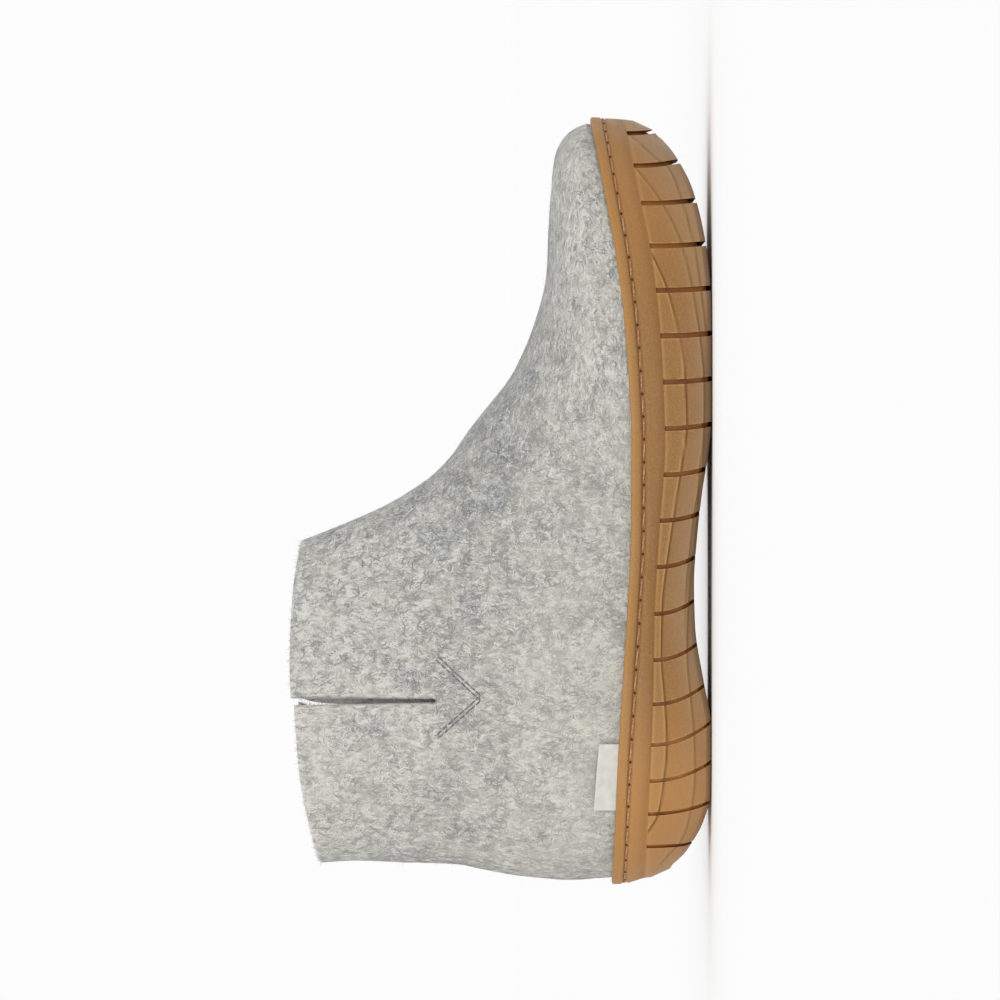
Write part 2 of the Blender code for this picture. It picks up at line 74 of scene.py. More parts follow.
FORWARD = np.array([1.0, 0.0, 0.0])
UP = np.array([0.0, 0.0, 1.0])
# Vectors shorter than this have no direction
SHORTEST = 1e-12
# A path that climbs more steeply than this is framed from its front and not from above
STEEPEST = 0.9

# Colours of the grooves' floor and its painted light at the ends, of the sewing threads and of their holes'
# painted shade
GROOVE_BROWN: Triple = (0.250, 0.092, 0.025)
GROOVE_END_LIGHT: Triple = (0.520, 0.220, 0.062)
SEAM_COLOURS: tuple[Triple, Triple] = (0.50, 0.275, 0.150), (0.31, 0.150, 0.070)
HOLE_SHADE_COLOURS: tuple[Triple, Triple] = (0.075, 0.030, 0.014), (0.045, 0.018, 0.010)
SLIT_COLOURS: tuple[Triple, Triple] = (0.20, 0.20, 0.198), (0.11, 0.11, 0.11)


class Side(Enum):
    """Sides of the right foot, as the sign of Y."""

    LATERAL = -1.0
    MEDIAL = 1.0


class Line(Enum):
    """Lines along the sole's edge, by the names of their columns in the tables."""

    LIP = "lip"
    BAND = "band"
    CREASE = "crease"
    BEVEL = "bevel"
    CUP = "cup"
    SWELL = "swell"
    FLOOR = "floor"
    GROOVE = "groove"


class Slot(Enum):
    """Material slots of the record."""

    FELT = "felt"
    RUBBER = "rubber"
    INSOLE = "insole_felt"
    TAPE = "tape"


ProfileRow = tuple[Line, float, float, float, float, int]


def table(columns: str, *rows: Sequence[float]) -> dict[str, Array]:
    """Makes named columns of numbers from rows, with the names in one text."""
    return dict(zip(columns.split(), np.array(rows, float).T))


# Outline of the sole seen from above: distance of each edge from the centre line
PLAN = table(
    "x lateral medial",
    (-140, 2.4, -2.4),
    (-135, 19.4, 14.8),
    (-122, 33.8, 29.0),
    (-100, 42.6, 37.2),
    (-75, 44.6, 39.3),
    (-45, 46.2, 39.2),
    (-15, 49.0, 40.2),
    (10, 52.3, 44.0),
    (36, 55.0, 50.8),
    (62, 53.8, 55.0),
    (90, 46.6, 53.4),
    (113, 35.6, 47.5),
    (128, 21.5, 38.5),
    (136.5, 6.0, 26.5),
    (140, -10.5, 10.5),
)

# Heights of the sole's lines along its edge, and how far the felt swells out above the lip
SOLE_LINES = table(
    "x lip band crease bevel cup swell",
    (-140, 35.7, 23.0, 21.6, 14.6, 24.0, 0.8),
    (-126, 35.2, 22.8, 21.0, 9.2, 22.4, 1.0),
    (-112, 34.7, 22.3, 19.2, 7.0, 19.4, 1.2),
    (-95, 34.0, 21.6, 17.2, 6.0, 17.2, 1.6),
    (-72, 32.6, 20.8, 17.2, 8.0, 15.9, 2.2),
    (-40, 30.6, 20.2, 18.2, 10.0, 15.0, 3.0),
    (-10, 29.3, 18.5, 14.6, 7.5, 14.2, 3.2),
    (20, 29.2, 16.6, 9.8, 3.4, 13.6, 2.6),
    (45, 30.3, 17.4, 10.0, 3.6, 13.6, 1.6),
    (65, 31.8, 18.7, 13.0, 5.6, 14.0, 1.0),
    (88, 34.6, 21.4, 20.0, 10.0, 16.4, 0.7),
    (110, 38.4, 25.4, 24.0, 13.5, 21.6, 0.6),
    (126, 41.2, 28.2, 26.4, 15.5, 27.0, 0.6),
    (140, 43.4, 30.6, 28.0, 20.5, 30.0, 0.6),
)

# Rocker of the tread, and the height of its grooves' floor
TREAD = table(
    "x floor groove",
    (-140, 17.0, 18.4),
    (-126, 7.4, 8.8),
    (-116, 2.6, 4.0),
    (-105, 0.0, 1.4),
    (-82, 0.0, 1.4),
    (-67, 2.6, 4.0),
    (-45, 6.0, 7.4),
    (-30, 6.4, 7.8),
    (-12, 5.2, 6.6),
    (4, 3.4, 4.8),
    (20, 0.9, 2.3),
    (32, 0.0, 1.4),
    (70, 0.0, 1.4),
    (86, 1.2, 4.2),
    (100, 3.4, 6.6),
    (114, 7.0, 10.2),
    (123, 11.0, 14.2),
    (140, 21.4, 24.6),
)

# Side of the sole from lip to tread: drop below a named line, inset at the sides, toe and heel, and the number
# of steps to the next row
SOLE_PROFILE: tuple[ProfileRow, ...] = (
    (Line.LIP, 0.0, 0.8, 0.8, 0.8, 1),
    (Line.LIP, 0.2, 0.3, 0.3, 0.3, 1),
    (Line.LIP, 0.7, 0.0, 0.05, 0.05, 4),
    (Line.LIP, 3.3, -0.1, 0.15, 0.15, 1),
    (Line.LIP, 3.7, 0.1, 0.35, 0.35, 1),
    (Line.LIP, 4.0, 0.55, 0.8, 0.8, 2),
    (Line.LIP, 5.1, 0.55, 0.85, 0.85, 1),
    (Line.LIP, 5.6, 0.1, 0.55, 0.65, 1),
    (Line.LIP, 6.2, -0.05, 0.45, 0.55, 9),
    (Line.BAND, -2.0, -0.1, 0.75, 2.0, 2),
    (Line.BAND, -1.2, -0.1, 0.85, 2.2, 1),
    (Line.BAND, -0.8, -0.5, 0.85, 2.25, 1),
    (Line.BAND, -0.5, -1.15, 0.85, 2.3, 1),
    (Line.BAND, 0.0, -1.35, 0.95, 2.45, 9),
    (Line.CREASE, 0.25, -0.95, 1.3, 2.6, 18),
    (Line.BEVEL, 0.0, 1.3, 4.7, 5.7, 9),
    (Line.FLOOR, -2.0, 3.3, 6.5, 6.9, 2),
    (Line.FLOOR, -1.1, 4.7, 8.0, 8.6, 2),
    (Line.FLOOR, -0.3, 6.6, 10.7, 10.8, 1),
    (Line.FLOOR, 0.0, 8.5, 13.5, 13.5, 1),
)

# The floor of the tread grooves
GROOVE_PROFILE: tuple[ProfileRow, ...] = (
    (Line.LIP, -4.0, -4.0, -4.0, -4.0, 1),
    (Line.BAND, -1.3, -4.0, -2.0, -2.0, 1),
    (Line.BAND, -0.4, 0.2, 2.3, 3.6, 1),
    (Line.CREASE, 0.25, 0.5, 3.0, 4.1, 1),
    (Line.BEVEL, -0.6, 2.7, 6.6, 7.4, 1),
    (Line.GROOVE, -1.4, 4.6, 9.0, 9.0, 1),
    (Line.GROOVE, -0.3, 6.4, 11.0, 11.0, 1),
    (Line.GROOVE, 0.0, 9.0, 14.0, 14.0, 1),
    (Line.GROOVE, 0.0, 14.0, 19.0, 19.0, 1),
)

# Tread grooves, counted from the toe: place at the sole's edge, forward lean at its foot, forward arch in the
# middle of the tread, and width
GROOVES = table(
    "index x lean arch width",
    (0, 133.3, 2.2, 0.0, 1.7),
    (1, 120.9, 2.6, 0.0, 1.8),
    (2, 107.0, 1.5, 0.0, 1.8),
    (3, 91.4, 1.2, 0.0, 1.8),
    (4, 75.3, 1.1, 3.0, 1.9),
    (9, -7.4, 2.5, 5.0, 1.7),
    (14, -88.2, 8.4, 16.8, 1.4),
    (17, -125.3, 0.5, 1.0, 1.3),
)

# Steps that run along the lugs like contour lines
LUG_STEP = table(
    "x z",
    (-124, 26.0),
    (-119, 22.6),
    (-114, 19.8),
    (-101.6, 17.5),
    (-87, 16.4),
    (-71.8, 17.2),
    (-55.5, 18.4),
    (-38.8, 18.1),
    (-22.6, 16.4),
    (-5.5, 13.9),
    (10.7, 11.4),
    (27, 9.4),
    (44, 10.0),
    (61, 12.5),
    (76.7, 16.7),
    (88, 21.7),
    (98, 27.0),
)
LUG_FOOT_STEP = table(
    "x z",
    (-134.8, 20.9),
    (-127, 14.2),
    (-124.6, 11.8),
    (-114.3, 8.1),
    (-101, 6.3),
    (-88.3, 6.5),
    (-73.8, 7.6),
    (-55.6, 9.1),
    (-40, 8.7),
    (-25, 7.5),
    (-5.8, 5.6),
    (8.8, 5.0),
    (22, 3.4),
    (38, 3.0),
    (58, 4.6),
    (77.3, 7.7),
    (93.7, 11.7),
    (108.6, 19.0),
    (118.9, 26.6),
    (126, 32.0),
)
TOE_STEP = table(
    "x z",
    (56, 2.0),
    (76.8, 4.4),
    (95, 7.4),
    (107.2, 10.6),
    (110.8, 11.7),
    (120, 15.4),
    (123.2, 19.3),
    (131.6, 28.4),
    (136, 33.0),
)

# Sections of the upper from the collar to the toe: distance of the section's foot forward along the lip from
# the heel, or up the heel where it is below 0, its apex on the instep line, and the depth and power of its
# rounded top
SECTIONS = table(
    "foot apex_x apex_z depth power",
    (-106.1, -14.6, 149.5, 88, 2.00),
    (-71, -5.8, 126.1, 74, 2.05),
    (-34, 2.9, 109.4, 62, 2.10),
    (0, 8.4, 101.4, 55, 2.15),
    (60, 15.0, 95.2, 50, 2.15),
    (105, 23.5, 88.9, 47, 2.15),
    (150, 37.0, 78.4, 45, 2.15),
    (170, 50.0, 69.5, 42, 2.15),
    (185, 65.0, 63.1, 38, 2.15),
    (200, 85.0, 59.2, 34, 2.15),
    (213, 103.5, 58.2, 32, 2.15),
    (225, 117.0, 57.2, 28, 2.10),
    (235, 125.0, 56.1, 23, 2.10),
    (243, 130.5, 54.1, 17, 2.05),
    (250, 134.2, 51.2, 10, 2.05),
    (257, 136.3, 47.8, 4.8, 2.00),
    (262, 137.2, 45.5, 1.6, 2.00),
    (266, 137.45, 43.9, 0.01, 2.00),
)

# Back of the heel seen from the side
HEEL_LINE = table(
    "z x",
    (36.2, -137.45),
    (52, -138.0),
    (67, -137.0),
    (80, -134.8),
    (92, -132.6),
    (110, -131.6),
    (152, -131.8),
)

# Line of the apexes seen from above
RIDGE = table("x y", (-140, -3.0), (-15, -3.0), (20, -2.0), (60, 1.0), (95, 4.5), (137.45, 10.3))


class SmoothCurve:
    """Smooth curve through points that never overshoots them."""

    def __init__(self, xs: Array, ys: Array) -> None:
        """Fits the curve to points.

        Args:
            xs: places of the points, rising.
            ys: heights of the points.
        """
        self.xs, self.ys = np.asarray(xs, float), np.asarray(ys, float)
        self.step = np.diff(self.xs)
        slope = np.diff(self.ys) / self.step
        before, after = slope[:-1], slope[1:]
        weight_before = 2 * self.step[1:] + self.step[:-1]
        weight_after = self.step[1:] + 2 * self.step[:-1]
        rising = before * after > 0
        safe_before, safe_after = np.where(rising, before, 1.0), np.where(rising, after, 1.0)
        mean = (weight_before + weight_after) / (weight_before / safe_before + weight_after / safe_after)
        self.tangent = np.concatenate([slope[:1], np.where(rising, mean, 0.0), slope[-1:]])

    def __call__(self, x: Array) -> Array:
        """Finds the curve's height, which is level past its ends.

        Args:
            x: places along the curve.

        Returns:
            The height at each place.
        """
        x = np.clip(x, self.xs[0], self.xs[-1])
        k = np.clip(np.searchsorted(self.xs, x, side="right") - 1, 0, len(self.step) - 1)
        h, t = self.step[k], (x - self.xs[k]) / self.step[k]
        return (
            self.ys[k] * (1 + 2 * t) * (1 - t) ** 2
            + self.ys[k + 1] * t * t * (3 - 2 * t)
            + h * self.tangent[k] * t * (1 - t) ** 2
            - h * self.tangent[k + 1] * t * t * (1 - t)
        )


class LoopCurve:
    """Smooth curve through points that repeats after a period."""

    def __init__(self, xs: Array, ys: Array, period: float) -> None:
        """Fits the curve to points within one period.

        Args:
            xs: places of the points, rising.
            ys: heights of the points.
            period: distance after which the curve repeats.
        """
        self.xs, self.ys, self.period = xs, ys, period
        count = len(xs)
        self.step = np.diff(np.append(xs, xs[0] + period))
        slope = np.diff(np.append(ys, ys[0])) / self.step
        system = np.zeros((count, count))
        for k in range(count):
            system[k, k - 1] = self.step[k - 1]
            system[k, k] = 2 * (self.step[k - 1] + self.step[k])
            system[k, (k + 1) % count] = self.step[k]
        self.bend = np.linalg.solve(system, 6 * (slope - np.roll(slope, 1)))
        self.next_y, self.next_bend = np.roll(ys, -1), np.roll(self.bend, -1)

    def __call__(self, x: Array) -> Array:
        """Finds the curve's height.

        Args:
            x: places along the curve.

        Returns:
            The height at each place.
        """
        x = (np.asarray(x) - self.xs[0]) % self.period + self.xs[0]
        k = np.searchsorted(self.xs, x, side="right") - 1
        h, past = self.step[k], x - self.xs[k]
        left = h - past
        cubic = (self.bend[k] * left**3 + self.next_bend[k] * past**3) / (6 * h)
        low = (self.ys[k] / h - self.bend[k] * h / 6) * left
        return cubic + low + (self.next_y[k] / h - self.next_bend[k] * h / 6) * past


def curves(columns: dict[str, Array]) -> dict[str, SmoothCurve]:
    """Gives a smooth curve over a table's first column for each of its other columns."""
    first, *others = columns
    return {name: SmoothCurve(columns[first], columns[name]) for name in others}


def smoothstep(x: Array, low: float, high: float) -> Array:
    """Gives the share from 0 at low to 1 at high, with flat ends."""
    t = np.clip((x - low) / (high - low), 0, 1)
    return t * t * (3 - 2 * t)


def bell(x: Array, middle: float, reach: float) -> Array:
    """Gives the share from 1 at the middle down to about a third at a reach from it."""
    return np.exp(-(((x - middle) / reach) ** 2))


def rounding(distance: Array, depth: float, power: float) -> Array:
    """Gives the share of the full width at a distance inside a rounded edge of that depth."""
    inside = 1 - np.clip(distance / depth, 0, 1)
    return (1 - inside**power) ** (1 / power)


def unit(vectors: Array) -> Array:
    """Gives vectors of length 1."""
    return vectors / np.maximum(np.linalg.norm(vectors, axis=-1, keepdims=True), SHORTEST)


class Waves:
    """Soft random lumps in space, made of crossing waves, with a spread of about 1."""

    def __init__(self, seed: int, shortest: float, longest: float, count: int = 40) -> None:
        """Draws the waves.

        Args:
            seed: seed of the draw.
            shortest: shortest wave, in millimetres.
            longest: longest wave, in millimetres.
            count: number of waves.
        """
        rng = np.random.default_rng(seed)
        lengths = np.exp(rng.uniform(math.log(shortest), math.log(longest), count))
        self.pull = unit(rng.normal(size=(count, 3))) * (2 * math.pi / lengths)[:, None]
        self.phase = rng.uniform(0, 2 * math.pi, count)

    def __call__(self, points: Array) -> Array:
        """Gives the height of the lumps at points in millimetres."""
        return np.sin(points @ self.pull.T + self.phase).sum(axis=1) / math.sqrt(len(self.phase) / 2)


@dataclass
class Last:
    """The form that the felt and the sole are made over."""

    length: float = 280.0
    collar_height: float = 152.0
    collar_back_height: float = 142.3
    collar_bow: float = 6.5
    collar_bow_start: float = 0.3
    shaft_half_width: float = 34.5
    shaft_back_depth: float = 60.0
    shaft_back_power: float = 2.2
    heel_lean_full_x: float = -105.0
    heel_lean_none_x: float = -20.0
    swell_height: float = 45.0
    swell_closing_depth: float = 30.0
    lip_thickness: float = 2.2
    seat_gap: float = 0.35
    lip_clearance: float = 0.5
    cup_tuck: float = 4.0
    end_facing_full: float = 0.95
    plan_samples: int = 1440
    tangent_step: float = 1e-3

    def __post_init__(self) -> None:
        """Fits the curves of the last."""
        self.half_length = self.length / 2
        self.felt_inset = self.lip_thickness + self.seat_gap
        lines = curves(SOLE_LINES) | curves(TREAD)
        self.line = {Line(name): curve for name, curve in lines.items()}
        self.heel_x = curves(HEEL_LINE)["x"]
        self.ridge_y = curves(RIDGE)["y"]
        self.section = curves(SECTIONS)
        angle = np.arccos(PLAN["x"] / self.half_length)
        self.plan_y = LoopCurve(
            np.concatenate([-angle, angle[-2:0:-1]]),
            np.concatenate([-PLAN["lateral"], PLAN["medial"][-2:0:-1]]),
            2 * math.pi,
        )
        half_turn = np.linspace(0, math.pi, self.plan_samples // 2)
        self.felt_outline = {}
        for side in Side:
            points = self.inset_outline(side.value * half_turn, self.felt_inset)
            self.felt_outline[side] = points[np.argsort(points[:, 0])]
        self.felt_back_x, self.heel_y = self.felt_outline[Side.LATERAL][0]
        self.heel_lip_height = float(HEEL_LINE["z"][0])
        self.heel_rise = self.collar_back_height - self.heel_lip_height
        self.toe_foot = float(SECTIONS["foot"][-1])

    def outline(self, angle: Array) -> Array:
        """Gives points of the sole's outline: heel at pi, toe at 0, lateral side below 0."""
        return np.stack([self.half_length * np.cos(angle), self.plan_y(angle)], axis=-1)

    def outward(self, angle: Array) -> Array:
        """Gives unit normals of the outline."""
        along = unit(self.outline(angle + self.tangent_step) - self.outline(angle - self.tangent_step))
        return np.stack([along[..., 1], -along[..., 0]], axis=-1)

    def inset_outline(self, angle: Array, inset: Array) -> Array:
        """Gives the outline moved inwards, by one distance or by one for each point."""
        return self.outline(angle) - self.outward(angle) * np.reshape(inset, (-1, 1))

    def end_shares(self, angle: Array) -> tuple[Array, Array]:
        """Gives how far the outline faces the toe, and the heel."""
        normal_x = self.outward(angle)[:, 0]
        return smoothstep(normal_x, 0, self.end_facing_full), smoothstep(-normal_x, 0, self.end_facing_full)

    def edge_ring(self, angle: Array, inset: Array, line: Line, raised: float) -> Array:
        """Gives points in millimetres round the shoe, inside its outline and above one of its lines."""
        flat = self.inset_outline(angle, inset)
        return np.column_stack([flat, self.line[line](self.outline(angle)[:, 0]) + raised])

    def cup_ring(self, angle: Array, inset: float, raised: float) -> Array:
        """Gives points round the foot of the cup, which tucks in below the toe and the heel."""
        toe, heel = self.end_shares(angle)
        return self.edge_ring(angle, inset + self.cup_tuck * (toe + heel), Line.CUP, raised)

    def profile_ring(self, angle: Array, row: ProfileRow) -> Array:
        """Finds points round the side of the sole.

        Args:
            angle: angles of the points on the outline.
            row: row of the side's profile.

        Returns:
            Points in millimetres, one for each angle.
        """
        line, drop, side, toe, heel, _ = row
        toe_share, heel_share = self.end_shares(angle)
        flat = self.inset_outline(angle, side + (toe - side) * toe_share + (heel - side) * heel_share)
        line_x = flat[:, 0] if line in (Line.FLOOR, Line.GROOVE) else self.outline(angle)[:, 0]
        return np.column_stack([flat, self.line[line](line_x) - drop])

    def side_angles(self, feet: Array) -> Array:
        """Finds outline angles along the edge, as a mean of both sides.

        Args:
            feet: distances from the heel along the edge.

        Returns:
            The angle at each distance.
        """
        fine = np.linspace(math.pi, 0, self.plan_samples)
        steps = [np.linalg.norm(np.diff(self.outline(side.value * fine), axis=0), axis=1) for side in Side]
        walked = np.concatenate([[0], np.cumsum(sum(steps) / 2)])
        return np.interp(feet, walked, fine)

    def loop_angles(self, reach: float, half_columns: int) -> Array:
        """Finds angles round the whole outline, evenly spaced along each side.

        Args:
            reach: distance from the heel to the toe along the edge.
            half_columns: number of steps on each side.

        Returns:
            The angles, from the heel along the lateral side.
        """
        side = self.side_angles(np.linspace(0, reach, half_columns + 1))
        side[-1] = 0.0
        return np.concatenate([-side, side[-2:0:-1]])

    def felt_side(self, x: Array, z: Array, side: Side) -> Array:
        """Finds the felt's side where its rounded front doesn't reach.

        Args:
            x: places along the shoe.
            z: heights.
            side: side of the foot.

        Returns:
            Y of the felt at each place.
        """
        lean = 1 - smoothstep(x, self.heel_lean_full_x, self.heel_lean_none_x)
        back_x = x - (self.heel_x(z) - self.felt_back_x) * lean
        behind = back_x - self.felt_back_x
        outline = self.felt_outline[side]
        foot = np.interp(back_x, outline[:, 0], outline[:, 1])
        leg = self.shaft_half_width * rounding(behind, self.shaft_back_depth, self.shaft_back_power)
        leg = self.heel_y + side.value * leg
        lip = self.line[Line.LIP](x)
        climb = np.clip((z - lip) / (self.collar_height - lip), 0, 1)
        swell = self.line[Line.SWELL](x) * np.sin(math.pi * np.clip((z - lip) / self.swell_height, 0, 1))
        swell = swell * rounding(behind, self.swell_closing_depth, 2)
        return foot + (leg - foot) * climb + side.value * swell

    def half_section(self, foot: float, end: Array, side: Side, shares: Array) -> Array:
        """Finds one side of a section of the upper.

        Args:
            foot: distance of the section's foot along the lip, or up the heel where it is below 0.
            end: x and z of the section's foot.
            side: side of the foot.
            shares: shares of the way from the foot to the apex.

        Returns:
            Points in millimetres, one for each share.
        """
        apex = np.array([self.section["apex_x"](foot), self.section["apex_z"](foot)])
        bow = self.collar_bow * smoothstep(-foot, self.heel_rise * self.collar_bow_start, self.heel_rise)
        flat = end + (apex - end) * shares[:, None]
        x, z = flat[:, 0], flat[:, 1] + bow * 4 * shares * (1 - shares)
        inside = (1 - shares) * np.linalg.norm(apex - end)
        width = rounding(inside, self.section["depth"](foot), self.section["power"](foot))
        y = self.ridge_y(apex[0]) * (1 - width) + self.felt_side(x, z, side) * width
        return np.stack([x, y, z], axis=1)


class Shader:
    """Builds the node tree of one finish."""

    # Detail and roughness of a noise with fine lumps on its larger ones
    FINE = (3.0, 0.6)
    # Places of a Mix node's inputs and output, for colours and for numbers
    MIX_COLOURS, MIX_COLOUR_OUT = (0, 6, 7), 2
    MIX_NUMBERS, MIX_NUMBER_OUT = (0, 2, 3), 0

    def __init__(self, name: str) -> None:
        """Starts a material with a Principled BSDF.

        Args:
            name: name of the material.
        """
        self.material = bpy.data.materials.new(name)
        self.material.use_nodes = True
        self.tree = self.material.node_tree
        self.surface = self.tree.nodes["Principled BSDF"]
        self.place = self.node("ShaderNodeTexCoord", {}).outputs["Object"]

    def feed(self, value: Value, target: Socket) -> None:
        """Links a socket to a target, or sets a plain value there.

        Args:
            value: the socket or the value.
            target: the input that takes it.
        """
        if isinstance(value, Socket):
            self.tree.links.new(value, target)
        else:
            target.default_value = value

    def node(self, kind: str, inputs: dict[Place, Value], **settings: str) -> bpy.types.Node:
        """Adds a node.

        Args:
            kind: type of the node.
            inputs: values or sockets, by the input's name or place.
            settings: properties of the node.

        Returns:
            The node.
        """
        node = self.tree.nodes.new(kind)
        for name, setting in settings.items():
            setattr(node, name, setting)
        for place, value in inputs.items():
            self.feed(value, node.inputs[place])
        return node

    def stretched(self, scale: Triple, turn: Triple = (0.0, 0.0, 0.0)) -> Socket:
        """Gives object coordinates, turned by Euler angles and then scaled to lumps per metre."""
        turned = self.node("ShaderNodeMapping", {"Vector": self.place, "Rotation": turn}).outputs["Vector"]
        return self.node("ShaderNodeMapping", {"Vector": turned, "Scale": scale}).outputs["Vector"]

    def noise(
        self, scale: float, detail: float = 2.0, rough: float = 0.5, warp: float = 0.0, vector: Socket = None
    ) -> Socket:
        """Gives a noise by its scale, the number and strength of its finer octaves and its distortion."""
        looks = {"Scale": scale, "Detail": detail, "Roughness": rough, "Distortion": warp}
        return self.node("ShaderNodeTexNoise", {"Vector": vector or self.place, **looks}).outputs["Fac"]

    def math(self, operation: str, first: Value, second: Value) -> Socket:
        """Gives the result of a maths node."""
        return self.node("ShaderNodeMath", {0: first, 1: second}, operation=operation).outputs[0]

    def ranged(self, value: Socket, low: float, high: float, start: float = 0.0, stop: float = 1.0) -> Socket:
        """Gives a value moved from one range to another, with flat ends, and held inside it."""
        inputs = dict(enumerate((value, low, high, start, stop)))
        return self.node("ShaderNodeMapRange", inputs, interpolation_type="SMOOTHSTEP").outputs[0]

    def mix(self, share: Value, first: Value, second: Value) -> Socket:
        """Gives a mix of two colours.

        Args:
            share: share of the second colour.
            first: colour or socket at a share of 0.
            second: colour or socket at a share of 1.

        Returns:
            The socket of the colour.
        """
        colours = [value if isinstance(value, Socket) else (*value, 1.0) for value in (first, second)]
        inputs = dict(zip(self.MIX_COLOURS, (share, *colours)))
        return self.node("ShaderNodeMix", inputs, data_type="RGBA").outputs[self.MIX_COLOUR_OUT]

    def blend(self, share: Value, first: Value, second: Value) -> Socket:
        """Gives a mix of two numbers, by the share of the second."""
        inputs = dict(zip(self.MIX_NUMBERS, (share, first, second)))
        return self.node("ShaderNodeMix", inputs, data_type="FLOAT").outputs[self.MIX_NUMBER_OUT]

    def attribute(self, name: str) -> Socket:
        """Gives a number stored on the mesh's points."""
        return self.node("ShaderNodeAttribute", {}, attribute_name=name).outputs["Fac"]

    def bump(self, height: Socket, distance: float, strength: float, under: Socket = None) -> Socket:
        """Gives normals raised by a height of that many metres, over other normals where there are some."""
        inputs = {"Height": height, "Distance": distance, "Strength": strength}
        return self.node("ShaderNodeBump", inputs | ({"Normal": under} if under else {})).outputs["Normal"]

    def finish(self, **inputs: Value) -> Material:
        """Sets the surface's inputs.

        Args:
            inputs: values or sockets by the input's name, with its words joined by underscores.

        Returns:
            The material.
        """
        sockets = {socket.name.lower().replace(" ", "_"): socket for socket in self.surface.inputs}
        for name, value in inputs.items():
            self.feed(value, sockets[name])
        return self.material


@dataclass(frozen=True)
class FeltFinish:
    """Felted wool: pale and dark fibres pressed together at random."""

    name: str
    dark: Triple = (0.200, 0.202, 0.205)
    middle: Triple = (0.370, 0.370, 0.360)
    pale: Triple = (0.550, 0.545, 0.515)
    warm: Triple = (0.560, 0.535, 0.445)
    # Painted shade: the colour that the inner face, the rim's inner half and the insole turn towards
    inside: Triple = (0.130, 0.131, 0.134)
    flecks_across: float = 760.0
    flecks_along: float = 330.0
    fleck_warp: float = 0.6
    middle_levels: Span = (0.38, 0.50)
    pale_levels: Span = (0.49, 0.62)
    fleck_bump: Span = (0.0006, 0.8)
    lump_scale: float = 650.0
    lump_bump: Span = (0.0005, 0.7)
    roughness: float = 0.96
    gloss: float = 0.15
    sheen: float = 0.35
    sheen_roughness: float = 0.45

    def material(self) -> Material:
        """Makes the material.

        Returns:
            The material.
        """
        shader = Shader(self.name)
        across, along = self.flecks_across, self.flecks_along
        upright = shader.noise(1.0, warp=self.fleck_warp, vector=shader.stretched((across, across, along)))
        lengthwise = shader.noise(1.0, warp=self.fleck_warp, vector=shader.stretched((along, across, across)))
        flecks = shader.blend(shader.attribute("forward"), upright, lengthwise)
        # On the upper the cloud holds random patches of tone, with painted shade on the instep and painted
        # light low on the vamp
        level = shader.math("ADD", flecks, shader.attribute("cloud"))
        base = shader.mix(shader.ranged(level, *self.middle_levels), self.dark, self.middle)
        base = shader.mix(shader.ranged(level, *self.pale_levels), base, self.pale)
        base = shader.mix(shader.attribute("warm"), base, self.warm)
        # Painted shade of the shoe's inside
        base = shader.mix(shader.attribute("inside"), base, self.inside)
        lumps = shader.noise(self.lump_scale, *shader.FINE)
        return shader.finish(
            base_color=base,
            roughness=self.roughness,
            specular_ior_level=self.gloss,
            sheen_weight=self.sheen,
            sheen_roughness=self.sheen_roughness,
            normal=shader.bump(flecks, *self.fleck_bump, shader.bump(lumps, *self.lump_bump)),
        )


@dataclass(frozen=True)
class FibreFinish:
    """Loose wool fibres that lie on the felt, from dark to pale by their own tint."""

    name: str
    dark: Triple = (0.180, 0.182, 0.183)
    middle: Triple = (0.365, 0.365, 0.356)
    pale: Triple = (0.590, 0.584, 0.552)
    warm: Triple = (0.580, 0.555, 0.465)
    # Painted shade: the colour that fibres on the lining turn towards
    inside: Triple = (0.130, 0.131, 0.134)
    middle_tint: float = 0.5
    tone_scale: float = 900.0
    tone_levels: Span = (0.3, 0.7)
    tone_change: Span = (-0.08, 0.08)
    roughness: float = 0.9
    gloss: float = 0.2
    sheen: float = 0.35
    sheen_roughness: float = 0.45

    def material(self) -> Material:
        """Makes the material.

        Returns:
            The material.
        """
        shader = Shader(self.name)
        tone = shader.ranged(shader.noise(self.tone_scale, 1.0), *self.tone_levels, *self.tone_change)
        tint = shader.math("ADD", shader.attribute("tint"), tone)
        base = shader.mix(shader.ranged(tint, 0.0, self.middle_tint), self.dark, self.middle)
        base = shader.mix(shader.ranged(tint, self.middle_tint, 1.0), base, self.pale)
        base = shader.mix(shader.attribute("warm"), base, self.warm)
        # Painted shade of the shoe's inside on the lining's fibres
        base = shader.mix(shader.attribute("shade"), base, self.inside)
        return shader.finish(
            base_color=base,
            roughness=self.roughness,
            specular_ior_level=self.gloss,
            sheen_weight=self.sheen,
            sheen_roughness=self.sheen_roughness,
        )


